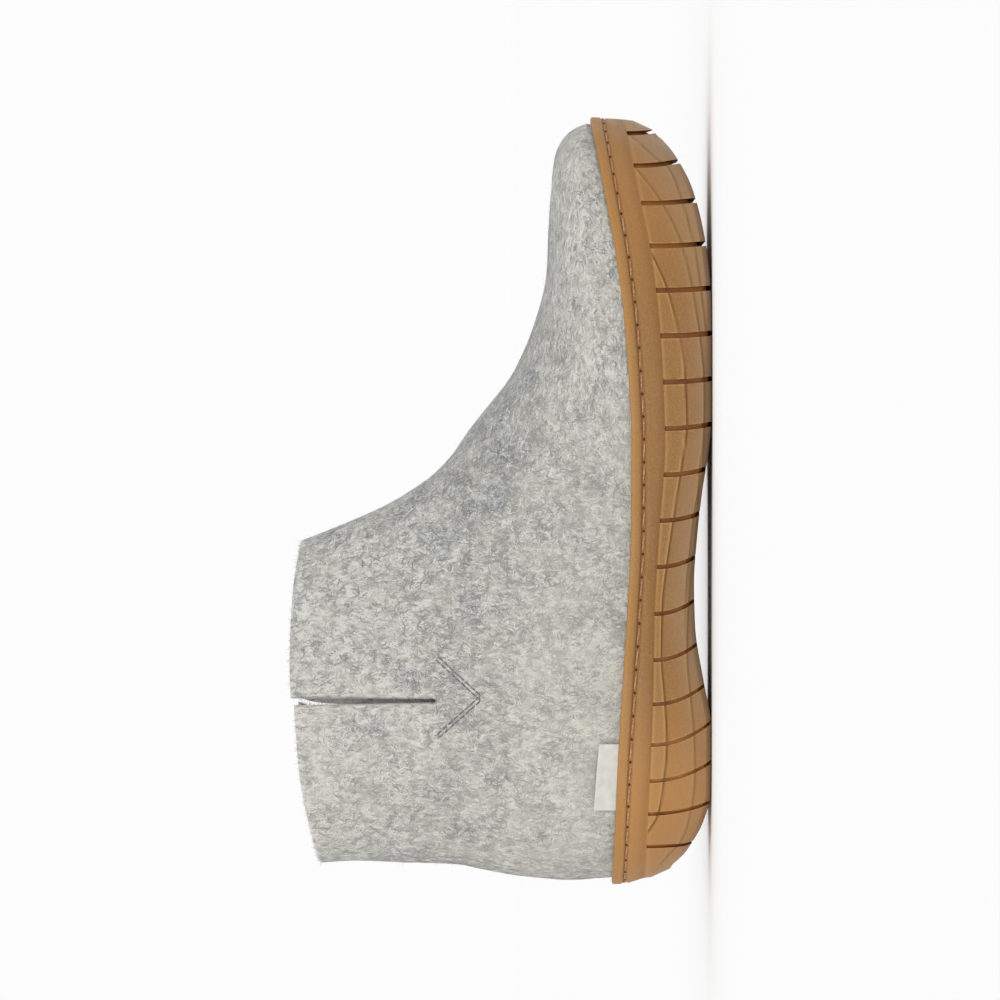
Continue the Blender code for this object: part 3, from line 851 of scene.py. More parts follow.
@dataclass(frozen=True)
class RubberFinish:
    """Honey tan natural rubber with a soft sheen, painted dark brown in its creases where shade falls."""

    name: str
    tan: Triple = (0.240, 0.114, 0.031)
    rosy: Triple = (0.254, 0.122, 0.036)
    # Painted light: paler towards the heel and the toe
    ends: Triple = (0.375, 0.182, 0.057)
    # Painted light: paler on the lip's top, which faces up
    lip: Triple = (0.358, 0.176, 0.050)
    # Painted reflection of the pale surroundings: greyer towards the tread
    foot: Triple = (0.315, 0.208, 0.128)
    # Painted highlight on the edges of the lugs' steps and grooves; random pale specks take the same colour
    edge: Triple = (0.440, 0.255, 0.080)
    # Painted shade in the lugs' creases, the stitch channel, under the lip and at the band's foot
    crease: Triple = (0.140, 0.052, 0.013)
    cloud_scale: float = 38.0
    cloud_levels: Span = (0.35, 0.65)
    speck_scale: float = 1500.0
    speck_levels: Span = (0.42, 0.66)
    speck_share: float = 0.24
    speck_bump: Span = (0.00006, 0.6)
    drag_scale: Triple = (90.0, 90.0, 900.0)
    drag_bump: Span = (0.00010, 0.6)
    rough_levels: Span = (0.7, 1.3)
    roughness: Span = (0.42, 0.60)
    gloss: float = 0.28

    def material(self) -> Material:
        """Makes the material.

        Returns:
            The material.
        """
        shader = Shader(self.name)
        clouds = shader.noise(self.cloud_scale, *shader.FINE)
        base = shader.mix(shader.ranged(clouds, *self.cloud_levels), self.tan, self.rosy)
        # Painted light at the ends and on the lip, and painted reflection near the tread
        for name, colour in (("ends", self.ends), ("lip", self.lip), ("foot", self.foot)):
            base = shader.mix(shader.attribute(name), base, colour)
        specks = shader.noise(self.speck_scale, *shader.FINE)
        base = shader.mix(shader.ranged(specks, *self.speck_levels, 0.0, self.speck_share), base, self.edge)
        # Painted highlight on edges and painted shade in creases
        for name, colour in (("edge", self.edge), ("crease", self.crease)):
            base = shader.mix(shader.attribute(name), base, colour)
        drag = shader.noise(1.0, vector=shader.stretched(self.drag_scale))
        rough = shader.ranged(shader.math("ADD", clouds, drag), *self.rough_levels, *self.roughness)
        normal = shader.bump(specks, *self.speck_bump, shader.bump(drag, *self.drag_bump))
        return shader.finish(base_color=base, roughness=rough, specular_ior_level=self.gloss, normal=normal)


@dataclass(frozen=True)
class ThreadFinish:
    """Twisted sewing thread."""

    name: str
    thread: Triple
    shade: Triple
    strand_turn: Triple = (0.5, 0.7, 0.3)
    strand_scale: Triple = (2200.0, 700.0, 700.0)
    strand_levels: Span = (0.35, 0.65)
    strand_bump: Span = (0.00015, 0.8)
    roughness: float = 0.75
    gloss: float = 0.3

    def material(self) -> Material:
        """Makes the material.

        Returns:
            The material.
        """
        shader = Shader(self.name)
        strands = shader.noise(1.0, vector=shader.stretched(self.strand_scale, self.strand_turn))
        return shader.finish(
            base_color=shader.mix(shader.ranged(strands, *self.strand_levels), self.shade, self.thread),
            roughness=self.roughness,
            specular_ior_level=self.gloss,
            normal=shader.bump(strands, *self.strand_bump),
        )


@dataclass(frozen=True)
class TapeFinish:
    """Off-white woven cotton tape."""

    name: str
    pale: Triple = (0.760, 0.745, 0.690)
    shade: Triple = (0.560, 0.545, 0.500)
    weave_scale: float = 1150.0
    weave_wander: float = 0.6
    weave_levels: Span = (0.3, 1.0)
    weave_bump: Span = (0.00012, 0.9)
    soil_scale: float = 260.0
    soil_detail: float = 3.0
    roughness: float = 0.85
    gloss: float = 0.2

    def material(self) -> Material:
        """Makes the material.

        Returns:
            The material.
        """
        shader = Shader(self.name)
        looks = {"Vector": shader.place, "Scale": self.weave_scale, "Distortion": self.weave_wander}
        waves = [shader.node("ShaderNodeTexWave", looks, bands_direction=way) for way in "XZ"]
        weave = shader.math("MULTIPLY", *(wave.outputs["Fac"] for wave in waves))
        soil = shader.math("ADD", weave, shader.noise(self.soil_scale, self.soil_detail))
        return shader.finish(
            base_color=shader.mix(shader.ranged(soil, *self.weave_levels), self.shade, self.pale),
            roughness=self.roughness,
            specular_ior_level=self.gloss,
            normal=shader.bump(weave, *self.weave_bump),
        )


@dataclass(frozen=True)
class FloorFinish:
    """Pale matt studio floor."""

    name: str
    colour: Triple = (0.885, 0.885, 0.885)
    roughness: float = 0.9
    gloss: float = 0.1

    def material(self) -> Material:
        """Makes the material."""
        look = {"base_color": (*self.colour, 1.0), "specular_ior_level": self.gloss}
        return Shader(self.name).finish(roughness=self.roughness, **look)


def add_piece(name: str, points: Array, faces: Iterable[Face], material: Material) -> Piece:
    """Adds a mesh object.

    Args:
        name: name of the piece.
        points: points in millimetres.
        faces: corners of the faces.
        material: finish of the piece.

    Returns:
        The new object.
    """
    mesh = bpy.data.meshes.new(name)
    mesh.from_pydata((np.asarray(points) * MM).tolist(), [], [tuple(face) for face in faces])
    mesh.shade_smooth()
    mesh.materials.append(material)
    obj = bpy.data.objects.new(name, mesh)
    bpy.context.scene.collection.objects.link(obj)
    return obj


def turn_faces_out(obj: Piece) -> None:
    """Turns the faces of a closed mesh outwards.

    Args:
        obj: the object of the mesh.
    """
    editable = bmesh.new()
    editable.from_mesh(obj.data)
    bmesh.ops.recalc_face_normals(editable, faces=editable.faces)
    editable.to_mesh(obj.data)
    editable.free()


def store(obj: Piece, **values: Array) -> None:
    """Stores numbers on the points of a mesh.

    Args:
        obj: the object of the mesh.
        values: a number for each point, by the name that the finish reads.
    """
    for name, numbers in values.items():
        attribute = obj.data.attributes.new(name, "FLOAT", "POINT")
        attribute.data.foreach_set("value", np.asarray(numbers, np.float32))


def mount(obj: Piece, slot: Slot, *nodes: str) -> None:
    """Fixes a piece to the shoe.

    Args:
        obj: the piece.
        slot: its material slot, not used.
        nodes: the solids that it stands for.
    """
    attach(obj, BODY)
    if nodes:
        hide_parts(*nodes)


def ring_faces(first: int, second: int, count: int) -> list[Face]:
    """Gives quads between two closed rings of points that start at these indices."""
    return [(first + k, first + (k + 1) % count, second + (k + 1) % count, second + k) for k in range(count)]


def ladder_faces(start: int, count: int) -> list[Face]:
    """Makes faces across a ring, from its lateral points to the medial ones.

    Args:
        start: index of the ring's first point.
        count: number of its points.

    Returns:
        The faces.
    """
    half = count // 2
    faces: list[Face] = [(start, start + 1, start + count - 1)]
    for k in range(1, half - 1):
        faces.append((start + k, start + k + 1, start + count - k - 1, start + count - k))
    faces.append((start + half - 1, start + half, start + half + 1))
    return faces


def stacked_rings(name: str, rings: Sequence[Array], material: Material) -> Piece:
    """Adds a closed solid through rings of points, capped across the first and the last.

    Args:
        name: name of the piece.
        rings: rings with the same number of points.
        material: finish of the piece.

    Returns:
        The new object.
    """
    count = len(rings[0])
    faces = ladder_faces(0, count)
    for k in range(len(rings) - 1):
        faces += ring_faces(k * count, (k + 1) * count, count)
    faces += ladder_faces((len(rings) - 1) * count, count)
    obj = add_piece(name, np.concatenate(rings), faces, material)
    turn_faces_out(obj)
    return obj


def tube(path: Array, radius: Array, sides: int) -> Mesh:
    """Makes a closed tube along a path.

    Args:
        path: points of the path, in millimetres.
        radius: radius at each point.
        sides: number of sides.

    Returns:
        Points and faces of the tube.
    """
    along = unit(np.gradient(path, axis=0))
    across = unit(np.cross(along, UP if abs(along[:, 2]).max() < STEEPEST else FORWARD))
    up = np.cross(across, along)
    turn = np.linspace(0, 2 * math.pi, sides, endpoint=False)
    circle = np.cos(turn)[None, :, None] * across[:, None] + np.sin(turn)[None, :, None] * up[:, None]
    points = (path[:, None] + circle * np.reshape(radius, (-1, 1, 1))).reshape(-1, 3)
    faces: list[Face] = []
    for k in range(len(path) - 1):
        faces += ring_faces(k * sides, (k + 1) * sides, sides)
    faces.append(tuple(range(sides - 1, -1, -1)))
    faces.append(tuple(range((len(path) - 1) * sides, len(path) * sides)))
    return points, faces


class Joined:
    """Many small meshes that become one piece."""

    def __init__(self) -> None:
        """Starts with nothing."""
        self.points: list[Array] = []
        self.faces: list[Face] = []
        self.count = 0

    def add(self, points: Array, faces: Iterable[Face]) -> None:
        """Adds one small mesh.

        Args:
            points: its points in millimetres.
            faces: corners of its faces.
        """
        self.faces += [tuple(corner + self.count for corner in face) for face in faces]
        self.points.append(points)
        self.count += len(points)

    def piece(self, name: str, material: Material) -> Piece:
        """Makes the piece."""
        return add_piece(name, np.concatenate(self.points), self.faces, material)


class Skin:
    """A face of the felt that fibres lie on."""

    def __init__(self, points: Array, faces: list[Face], normals: Array) -> None:
        """Keeps the face's points in millimetres, its quads and the normals of its points."""
        self.points, self.faces, self.normals = points, faces, normals
        self.tree = BVHTree.FromPolygons([Vector(point) for point in points], faces)

    def scatter(self, count: int, rng: np.random.Generator) -> Array:
        """Draws points spread evenly over the face.

        Args:
            count: number of points.
            rng: source of the draw.

        Returns:
            The points.
        """
        quads = np.array([face for face in self.faces if len(face) == 4])
        triangles = np.concatenate([quads[:, [0, 1, 2]], quads[:, [0, 2, 3]]])
        corners = self.points[triangles]
        first, second = corners[:, 1] - corners[:, 0], corners[:, 2] - corners[:, 0]
        area = np.linalg.norm(np.cross(first, second), axis=1)
        chosen = rng.choice(len(area), count, p=area / area.sum())
        a, b = rng.random((2, count, 1))
        over = a + b > 1
        a, b = np.where(over, 1 - a, a), np.where(over, 1 - b, b)
        return corners[chosen, 0] + a * first[chosen] + b * second[chosen]

    def nearest(self, points: Array) -> tuple[Array, Array]:
        """Moves points to the nearest place on the face.

        Args:
            points: the points.

        Returns:
            The places, and the normals there.
        """
        places, normals = np.empty_like(points), np.empty_like(points)
        for k, point in enumerate(points):
            place, _, face, _ = self.tree.find_nearest(Vector(point))
            places[k] = place
            normals[k] = self.normals[self.faces[face][0]]
        return places, normals


@dataclass
class WoolShades:
    """Where the wool is dark, pale or cream, with painted shade on the instep and painted light low on the
    vamp, and which way its fibres lie.
    """

    last: Last
    grain_turn: Span = (-20.0, 60.0)
    tuft_seed: int = 18
    tuft_sizes: Span = (1.6, 4.2)
    tuft_stretch: float = 0.6
    patch_seed: int = 12
    patch_sizes: Span = (3.6, 8.0)
    patch_share: float = 0.8
    drift_seed: int = 13
    drift_sizes: Span = (9.0, 22.0)
    drift_share: float = 0.6
    cloud_depth: float = 0.028
    cloud_limit: float = 0.1
    # Painted shade on the instep
    instep_along: Span = (30.0, 60.0)
    instep_height: Span = (82.0, 26.0)
    instep_darkening: float = 0.05
    shaft_heights: Span = (90.0, 135.0)
    shaft_paling: float = 0.04
    # Painted light low on the vamp, which faces up towards the light
    vamp_foot_rise: Span = (6.0, 14.0)
    vamp_start: Span = (-10.0, 60.0)
    vamp_foot_paling: float = 0.035
    cream_seed: int = 14
    cream_sizes: Span = (8.0, 24.0)
    cream_behind: Span = (-60.0, 120.0)
    cream_heights: Span = (40.0, 100.0)
    cream_least: float = 0.05
    cream_back_share: float = 0.20
    cream_low_share: float = 0.18
    cream_patch_share: float = 0.06
    cream_most: float = 0.6

    def forward(self, points: Array) -> Array:
        """Gives how far the fibres lie along the foot instead of up the shaft."""
        return smoothstep(points[:, 0], *self.grain_turn)

    def grain(self, points: Array) -> Array:
        """Gives the direction in which most fibres lie."""
        turn = self.forward(points) * math.pi / 2
        return np.column_stack([np.sin(turn), np.zeros(len(points)), np.cos(turn)])

    def tufts(self, points: Array) -> Array:
        """Finds how pale or dark the small tufts are, drawn out along the grain.

        Args:
            points: points in millimetres.

        Returns:
            A number for each point, with a spread of about 1.
        """
        waves = Waves(self.tuft_seed, *self.tuft_sizes)
        upright = waves(points * np.array([1.0, 1.0, self.tuft_stretch]))
        lengthwise = waves(points * np.array([self.tuft_stretch, 1.0, 1.0]))
        return upright + (lengthwise - upright) * self.forward(points)

    def cloud(self, points: Array) -> Array:
        """Finds how pale or dark the wool lies, in soft random patches, with painted shade on the instep, a
        paler shaft and painted light low on the vamp.

        Args:
            points: points in millimetres.

        Returns:
            A small number for each point, above 0 where it is pale.
        """
        x, z = points[:, 0], points[:, 2]
        patches = self.patch_share * Waves(self.patch_seed, *self.patch_sizes)(points)
        patches = patches + self.drift_share * Waves(self.drift_seed, *self.drift_sizes)(points)
        instep = bell(x, *self.instep_along) * bell(z, *self.instep_height)
        shaft = smoothstep(z, *self.shaft_heights) * (1 - instep)
        lip_rise = z - self.last.line[Line.LIP](x)
        vamp_foot = bell(lip_rise, *self.vamp_foot_rise) * smoothstep(x, *self.vamp_start)
        # Painted shade on the instep and painted light low on the vamp, over random patches of tone
        shade = self.cloud_depth * patches - self.instep_darkening * instep
        shade = shade + self.shaft_paling * shaft + self.vamp_foot_paling * vamp_foot
        return np.clip(shade, -self.cloud_limit, self.cloud_limit)

    def warmth(self, points: Array) -> Array:
        """Finds how cream the wool is, more towards the heel and the sole.

        Args:
            points: points in millimetres.

        Returns:
            A share for each point.
        """
        back = smoothstep(-points[:, 0], *self.cream_behind)
        low = 1 - smoothstep(points[:, 2], *self.cream_heights)
        patches = Waves(self.cream_seed, *self.cream_sizes)(points)
        cream = self.cream_least + self.cream_back_share * back + self.cream_low_share * low
        return np.clip(cream + self.cream_patch_share * patches, 0.0, self.cream_most)


@dataclass
class FeltUpper:
    """One felted shell, slit at both sides of the ankle, with soft rounded edges."""

    last: Last
    shades: WoolShades
    finish: FeltFinish
    thickness: float = 5.0
    foot_ease: float = 0.4
    half_steps: int = 72
    shaft_rows: int = 66
    arch_rows: int = 120
    slit_x: float = -72.5
    slit_tolerance: float = 0.01
    slit_foot_height: float = 99.5
    slit_foot_gap: float = 1.5
    slit_mouth_gap: float = 3.1
    medial_slit_shift: float = -3.4
    medial_slit_bend: float = 9.0
    medial_flare: float = 0.5
    slit_spread_columns: int = 6
    rear_flare: float = 2.6
    rear_flare_reach: float = 24.0
    front_dip: float = 0.7
    rear_drop: float = 1.8
    rim_round: float = 1.3
    rim_power: float = 0.62
    rim_steps: int = 7
    lump_seed: int = 11
    lump_sizes: Span = (22.0, 60.0)
    lump_height: float = 0.28
    lump_start: Span = (1.0, 14.0)
    normal_passes: int = 60
    ring_spacing_foot: float = -20.0
    arch_spacing_foot: float = 120.0
    inside_shade: float = 0.28
    inside_start: Span = (0.75, 1.0)
    lining_height: float = 70.0
    sight_distance: float = 90.0

    def shares(self, foot: float, slit_share: float) -> Array:
        """Gives shares of the way from foot to apex, with a column on the slit above its foot.

        Args:
            foot: distance of the section's foot along the lip.
            slit_share: share at which the section crosses the slit's line.

        Returns:
            Shares from 0 to 1.
        """
        steps = np.linspace(0, 1, self.half_steps + 1)
        arch = smoothstep(foot, self.ring_spacing_foot, self.arch_spacing_foot)
        plain = (1 - arch) * (1 - np.cos(math.pi * steps)) / 2 + arch * np.sin(math.pi / 2 * steps)
        if foot > self.ring_spacing_foot:
            return plain
        middle = plain[self.half_steps // 2]
        behind = plain * slit_share / middle
        ahead = 1 - (1 - plain) * (1 - slit_share) / (1 - middle)
        moved = np.where(steps <= 0.5, behind, ahead)
        hold = 1 - smoothstep(foot, 2 * self.ring_spacing_foot, self.ring_spacing_foot)
        return plain + (moved - plain) * hold

    def whole_section(self, foot: float, ends: Sequence[Array]) -> Array:
        """Finds a section from its lateral foot over the apex to its medial foot.

        Args:
            foot: distance of the section's foot along the lip, or up the heel where it is below 0.
            ends: x and z of both feet.

        Returns:
            Points in millimetres.
        """
        reach = float(self.last.section["apex_x"](foot)) - ends[0][0]
        shares = self.shares(foot, (self.slit_x - ends[0][0]) / reach)
        lateral = self.last.half_section(foot, ends[0], Side.LATERAL, shares)
        medial = self.last.half_section(foot, ends[1], Side.MEDIAL, shares)
        return np.concatenate([lateral, medial[-2::-1]])

    def sections(self) -> list[Array]:
        """Finds the rows of the outer face.

        Returns:
            Closed rings round the shaft, then arches over the foot.
        """
        last, rows = self.last, []
        for rise in np.linspace(last.heel_rise, 0, self.shaft_rows + 1):
            end = np.array([last.heel_x(last.heel_lip_height + rise), last.heel_lip_height + rise])
            ring = self.whole_section(-rise, (end, end))
            ring[[0, -1], 1] = last.heel_y
            rows.append(ring)
        feet = np.linspace(0, last.toe_foot, self.arch_rows + 1)
        self.angles = last.side_angles(feet)
        for foot, angle in zip(feet[1:-1], self.angles[1:-1]):
            edge = np.array([-angle, angle])
            ends = last.edge_ring(edge, last.felt_inset, Line.LIP, last.lip_clearance)
            arch = self.whole_section(foot, ends[:, [0, 2]])
            arch[[0, -1]] = ends
            rows.append(arch)
        self.toe_angles = np.linspace(-self.angles[-1], self.angles[-1], 2 * self.half_steps + 1)
        rows.append(last.edge_ring(self.toe_angles, last.felt_inset, Line.LIP, last.lip_clearance))
        return rows

    def lay_points(self) -> None:
        """Lays the outer face's points, with two columns of them along each slit."""
        across, middle = 2 * self.half_steps, self.half_steps // 2
        self.slit_columns = (middle, across - middle)
        self.index: list[list[int]] = []
        self.rear_twin: dict[tuple[int, int], int] = {}
        self.slit_rows = 0
        points: list[Array] = []
        for k, row in enumerate(self.sections()):
            kept = row[:-1] if k <= self.shaft_rows else row
            self.index.append([len(points) + j % len(kept) for j in range(across + 1)])
            points += list(kept)
            if k <= self.shaft_rows and row[middle, 2] > self.slit_foot_height:
                self.slit_rows = k + 1
                for column in self.slit_columns:
                    self.rear_twin[k, column] = len(points)
                    points.append(row[column])
        self.outer = np.array(points)

    def lay_faces(self) -> None:
        """Lays the outer face's faces, with each slit left open."""
        first, second = self.slit_columns
        self.outer_faces: list[Face] = []
        for k in range(len(self.index) - 1):
            for j in range(2 * self.half_steps):
                rear = j < first or j >= second
                corners = []
                for row, column in ((k, j), (k, j + 1), (k + 1, j + 1), (k + 1, j)):
                    twin = self.rear_twin.get((row, column)) if rear else None
                    corners.append(self.index[row][column] if twin is None else twin)
                self.outer_faces.append(tuple(dict.fromkeys(corners)))

    def lay_foot(self) -> None:
        """Adds the felt's foot, which stands on the floor of the cup behind the lip."""
        arches = self.index[self.shaft_rows + 1 : -1]
        lip = [self.index[self.shaft_rows][0]] + [arch[0] for arch in arches] + self.index[-1]
        lip += [arch[-1] for arch in reversed(arches)]
        self.ring_angles = np.concatenate([-self.angles[:-1], self.toe_angles, self.angles[-2:0:-1]])
        inset = self.last.felt_inset + self.foot_ease
        ring = self.last.cup_ring(self.ring_angles, inset, self.last.seat_gap)
        self.foot = list(range(len(self.outer), len(self.outer) + len(ring)))
        self.outer = np.concatenate([self.outer, ring])
        for k in range(len(lip)):
            self.outer_faces.append((lip[k - 1], lip[k], self.foot[k], self.foot[k - 1]))

    def find_normals(self) -> None:
        """Finds the outer face's normals and evens them out with their neighbours'."""
        quads = np.array([face if len(face) == 4 else (*face, face[-1]) for face in self.outer_faces])

        def gather(per_face: Array) -> Array:
            """Adds up at each point what its faces have.

            Args:
                per_face: a vector for each face.

            Returns:
                The direction of the sum at each point.
            """
            total = np.zeros_like(self.outer)
            for corner in quads.T:
                np.add.at(total, corner, per_face)
            return unit(total)

        corners = self.outer[quads]
        normals = gather(np.cross(corners[:, 2] - corners[:, 0], corners[:, 3] - corners[:, 1]))
        for _ in range(self.normal_passes):
            normals = gather(normals[quads].sum(axis=1))
        collar_front = self.index[0][self.half_steps]
        if normals[collar_front, 0] < 0:
            normals = -normals
        normals[self.foot] = np.column_stack([self.last.outward(self.ring_angles), np.zeros(len(self.foot))])
        self.normals = normals

    def open_slits(self) -> None:
        """Draws the slits' edges apart, stands the rear panel proud and lowers it a little."""
        x, y, z = self.outer.T
        climb = smoothstep(z, self.slit_foot_height, self.last.collar_height)
        rise = np.clip((z - self.slit_foot_height) / (self.last.collar_height - self.slit_foot_height), 0, 1)
        gap = self.slit_foot_gap + (self.slit_mouth_gap - self.slit_foot_gap) * rise
        half_gap = gap / 2 + self.rim_round
        behind = x < self.slit_x - self.slit_tolerance
        behind[list(self.rear_twin.values())] = True
        near = bell(x, self.slit_x, self.rear_flare_reach)
        lift = np.where(behind, self.rear_flare, -self.front_dip) * near * climb
        lift *= np.where(y > 0, self.medial_flare, 1.0)
        self.outer = self.outer + self.normals * lift[:, None]
        self.outer[:, 2] -= np.where(behind, self.rear_drop * near * climb, 0)
        shift = self.medial_slit_shift * (1 - np.exp(-self.medial_slit_bend * (1 - rise)))
        self.spread_slit(self.slit_columns[0], 1, half_gap, np.zeros_like(shift))
        self.spread_slit(self.slit_columns[1], -1, half_gap, shift)

    def spread_slit(self, slit: int, ahead: int, half_gap: Array, shift: Array) -> None:
        """Moves the points beside one slit apart.

        Args:
            slit: column of points on the slit.
            ahead: step from that column to the next one in front of it.
            half_gap: half of the slit's width at each point's height.
            shift: distance that the slit moves forward at each point's height.
        """
        for k in range(self.slit_rows):
            for step in range(self.slit_spread_columns):
                share = 1 - step / self.slit_spread_columns
                front = self.index[k][slit + ahead * step]
                rear = self.index[k][slit - ahead * step] if step else self.rear_twin[k, slit]
                self.outer[front, 0] += (half_gap[front] + shift[front]) * share
                self.outer[rear, 0] -= (half_gap[rear] - shift[rear]) * share

    def raise_lumps(self) -> None:
        """Raises the soft lumps of the felt, down to where the sole holds it."""
        lumps = Waves(self.lump_seed, *self.lump_sizes)(self.outer) * self.lump_height
        lumps[self.foot] = 0
        lip_rise = self.outer[:, 2] - self.last.line[Line.LIP](self.outer[:, 0])
        self.outer = self.outer + self.normals * (lumps * smoothstep(lip_rise, *self.lump_start))[:, None]

    def edge_loop(self) -> tuple[list[int], Array]:
        """Finds the loop of points round the collar and both slits.

        Returns:
            Indices of the points, and the direction in which the felt ends at each.
        """
        first, second = self.slit_columns
        index, twin, top = self.index, self.rear_twin, self.index[0]
        down = range(1, self.slit_rows)
        stretches = (
            ([top[first]], UP - FORWARD),
            (top[first + 1 : second], UP),
            ([top[second]], UP - FORWARD),
            ([index[k][second] for k in down], -FORWARD),
            ([index[self.slit_rows][second]], UP),
            ([twin[k, second] for k in reversed(down)], FORWARD),
            ([twin[0, second]], UP + FORWARD),
            (top[second + 1 : -1] + top[:first], UP),
            ([twin[0, first]], UP + FORWARD),
            ([twin[k, first] for k in down], FORWARD),
            ([index[self.slit_rows][first]], UP),
            ([index[k][first] for k in reversed(down)], -FORWARD),
        )
        loop = [point for points, _ in stretches for point in points]
        return loop, np.array([end for points, end in stretches for _ in points])

    def round_edge(self, loop: list[int]) -> tuple[Array, list[Face], Array]:
        """Makes the rounded edge from the outer face to the inner one.

        Args:
            loop: indices of the outer face's points along the edge.

        Returns:
            Points of the edge, its faces, and how far inside each of its points lies.
        """
        count, length = len(self.outer), len(loop)
        rows, points, inside = [np.array(loop)], [], []
        for turn in np.linspace(0, math.pi, self.rim_steps + 1)[1:-1]:
            out = math.copysign(abs(math.cos(turn)) ** self.rim_power, math.cos(turn))
            off = math.sin(turn) ** self.rim_power * self.rim_round
            rows.append(2 * count + length * len(points) + np.arange(length))
            points.append(self.edge_middle + self.edge_half * out + self.edge_ends * off)
            inside.append(np.full(length, 0.5 - 0.5 * out))
        rows.append(np.array(loop) + count)
        faces: list[Face] = []
        for here, there in zip(rows, rows[1:]):
            faces += np.stack([here, np.roll(here, -1), np.roll(there, -1), there], axis=1).tolist()
        return np.concatenate(points), faces, np.concatenate(inside)

    def build(self) -> Piece:
        """Builds the shell.

        Returns:
            The felt piece.
        """
        self.lay_points()
        self.lay_faces()
        self.lay_foot()
        self.find_normals()
        self.open_slits()
        self.raise_lumps()
        inner = self.outer - self.normals * self.thickness
        loop, self.edge_ends = self.edge_loop()
        on_collar = self.edge_ends[:, 2] > 0
        lowered = np.where(on_collar, self.rim_round, 0)[:, None] * UP
        self.outer[loop] -= lowered
        inner[loop] -= lowered
        self.edge_middle = (self.outer[loop] + inner[loop]) / 2
        self.edge_half = (self.outer[loop] - inner[loop]) / 2
        self.inner_rim = inner[np.array(loop)[on_collar]]
        count = len(self.outer)
        faces = list(self.outer_faces) + [tuple(c + count for c in face) for face in self.outer_faces]
        faces += [(a, a + count, b + count, b) for a, b in zip(self.foot, self.foot[1:] + self.foot[:1])]
        edge, edge_faces, edge_inside = self.round_edge(loop)
        points = np.concatenate([self.outer, inner, edge])
        felt = add_piece("felt_upper", points, faces + edge_faces, self.finish.material())
        turn_faces_out(felt)
        self.dress(felt, points, np.concatenate([np.zeros(count), np.ones(count), edge_inside]))
        self.keep_skins(inner)
        return felt

    def dress(self, felt: Piece, points: Array, inside: Array) -> None:
        """Stores what the finish needs and fixes the felt to the shoe.

        Args:
            felt: the felt piece.
            points: its points in millimetres.
            inside: how far inside each point lies, from 0 to 1.
        """
        store(
            felt,
            inside=self.inside_shade * smoothstep(inside, *self.inside_start),
            cloud=self.shades.cloud(points),
            warm=self.shades.warmth(points),
            forward=self.shades.forward(points),
        )
        mount(felt, Slot.FELT, "upper")

    def keep_skins(self, inner: Array) -> None:
        """Keeps the outer face and the shaft's lining, for fibres to lie on.

        Args:
            inner: points of the inner face.
        """
        foot = set(self.foot)
        shell = [face for face in self.outer_faces if not foot.intersection(face)]
        self.skin = Skin(self.outer, shell, self.normals)
        high = inner[:, 2] > self.lining_height
        lining = [face for face in shell if high[list(face)].all()]
        self.lining = Skin(inner, lining, -self.normals)

    def side_point(self, x: float, z: float, side: Side) -> tuple[Array, Array]:
        """Finds the felt's outer face at a place seen from one side.

        Args:
            x: distance along the shoe.
            z: height.
            side: side of the foot.

        Returns:
            The point and its normal.
        """
        start = Vector((x, side.value * self.sight_distance, z))
        point, normal, _, _ = self.skin.tree.ray_cast(start, Vector((0, -side.value, 0)))
        normal = np.array(normal)
        return np.array(point), normal if normal[1] * side.value > 0 else -normal


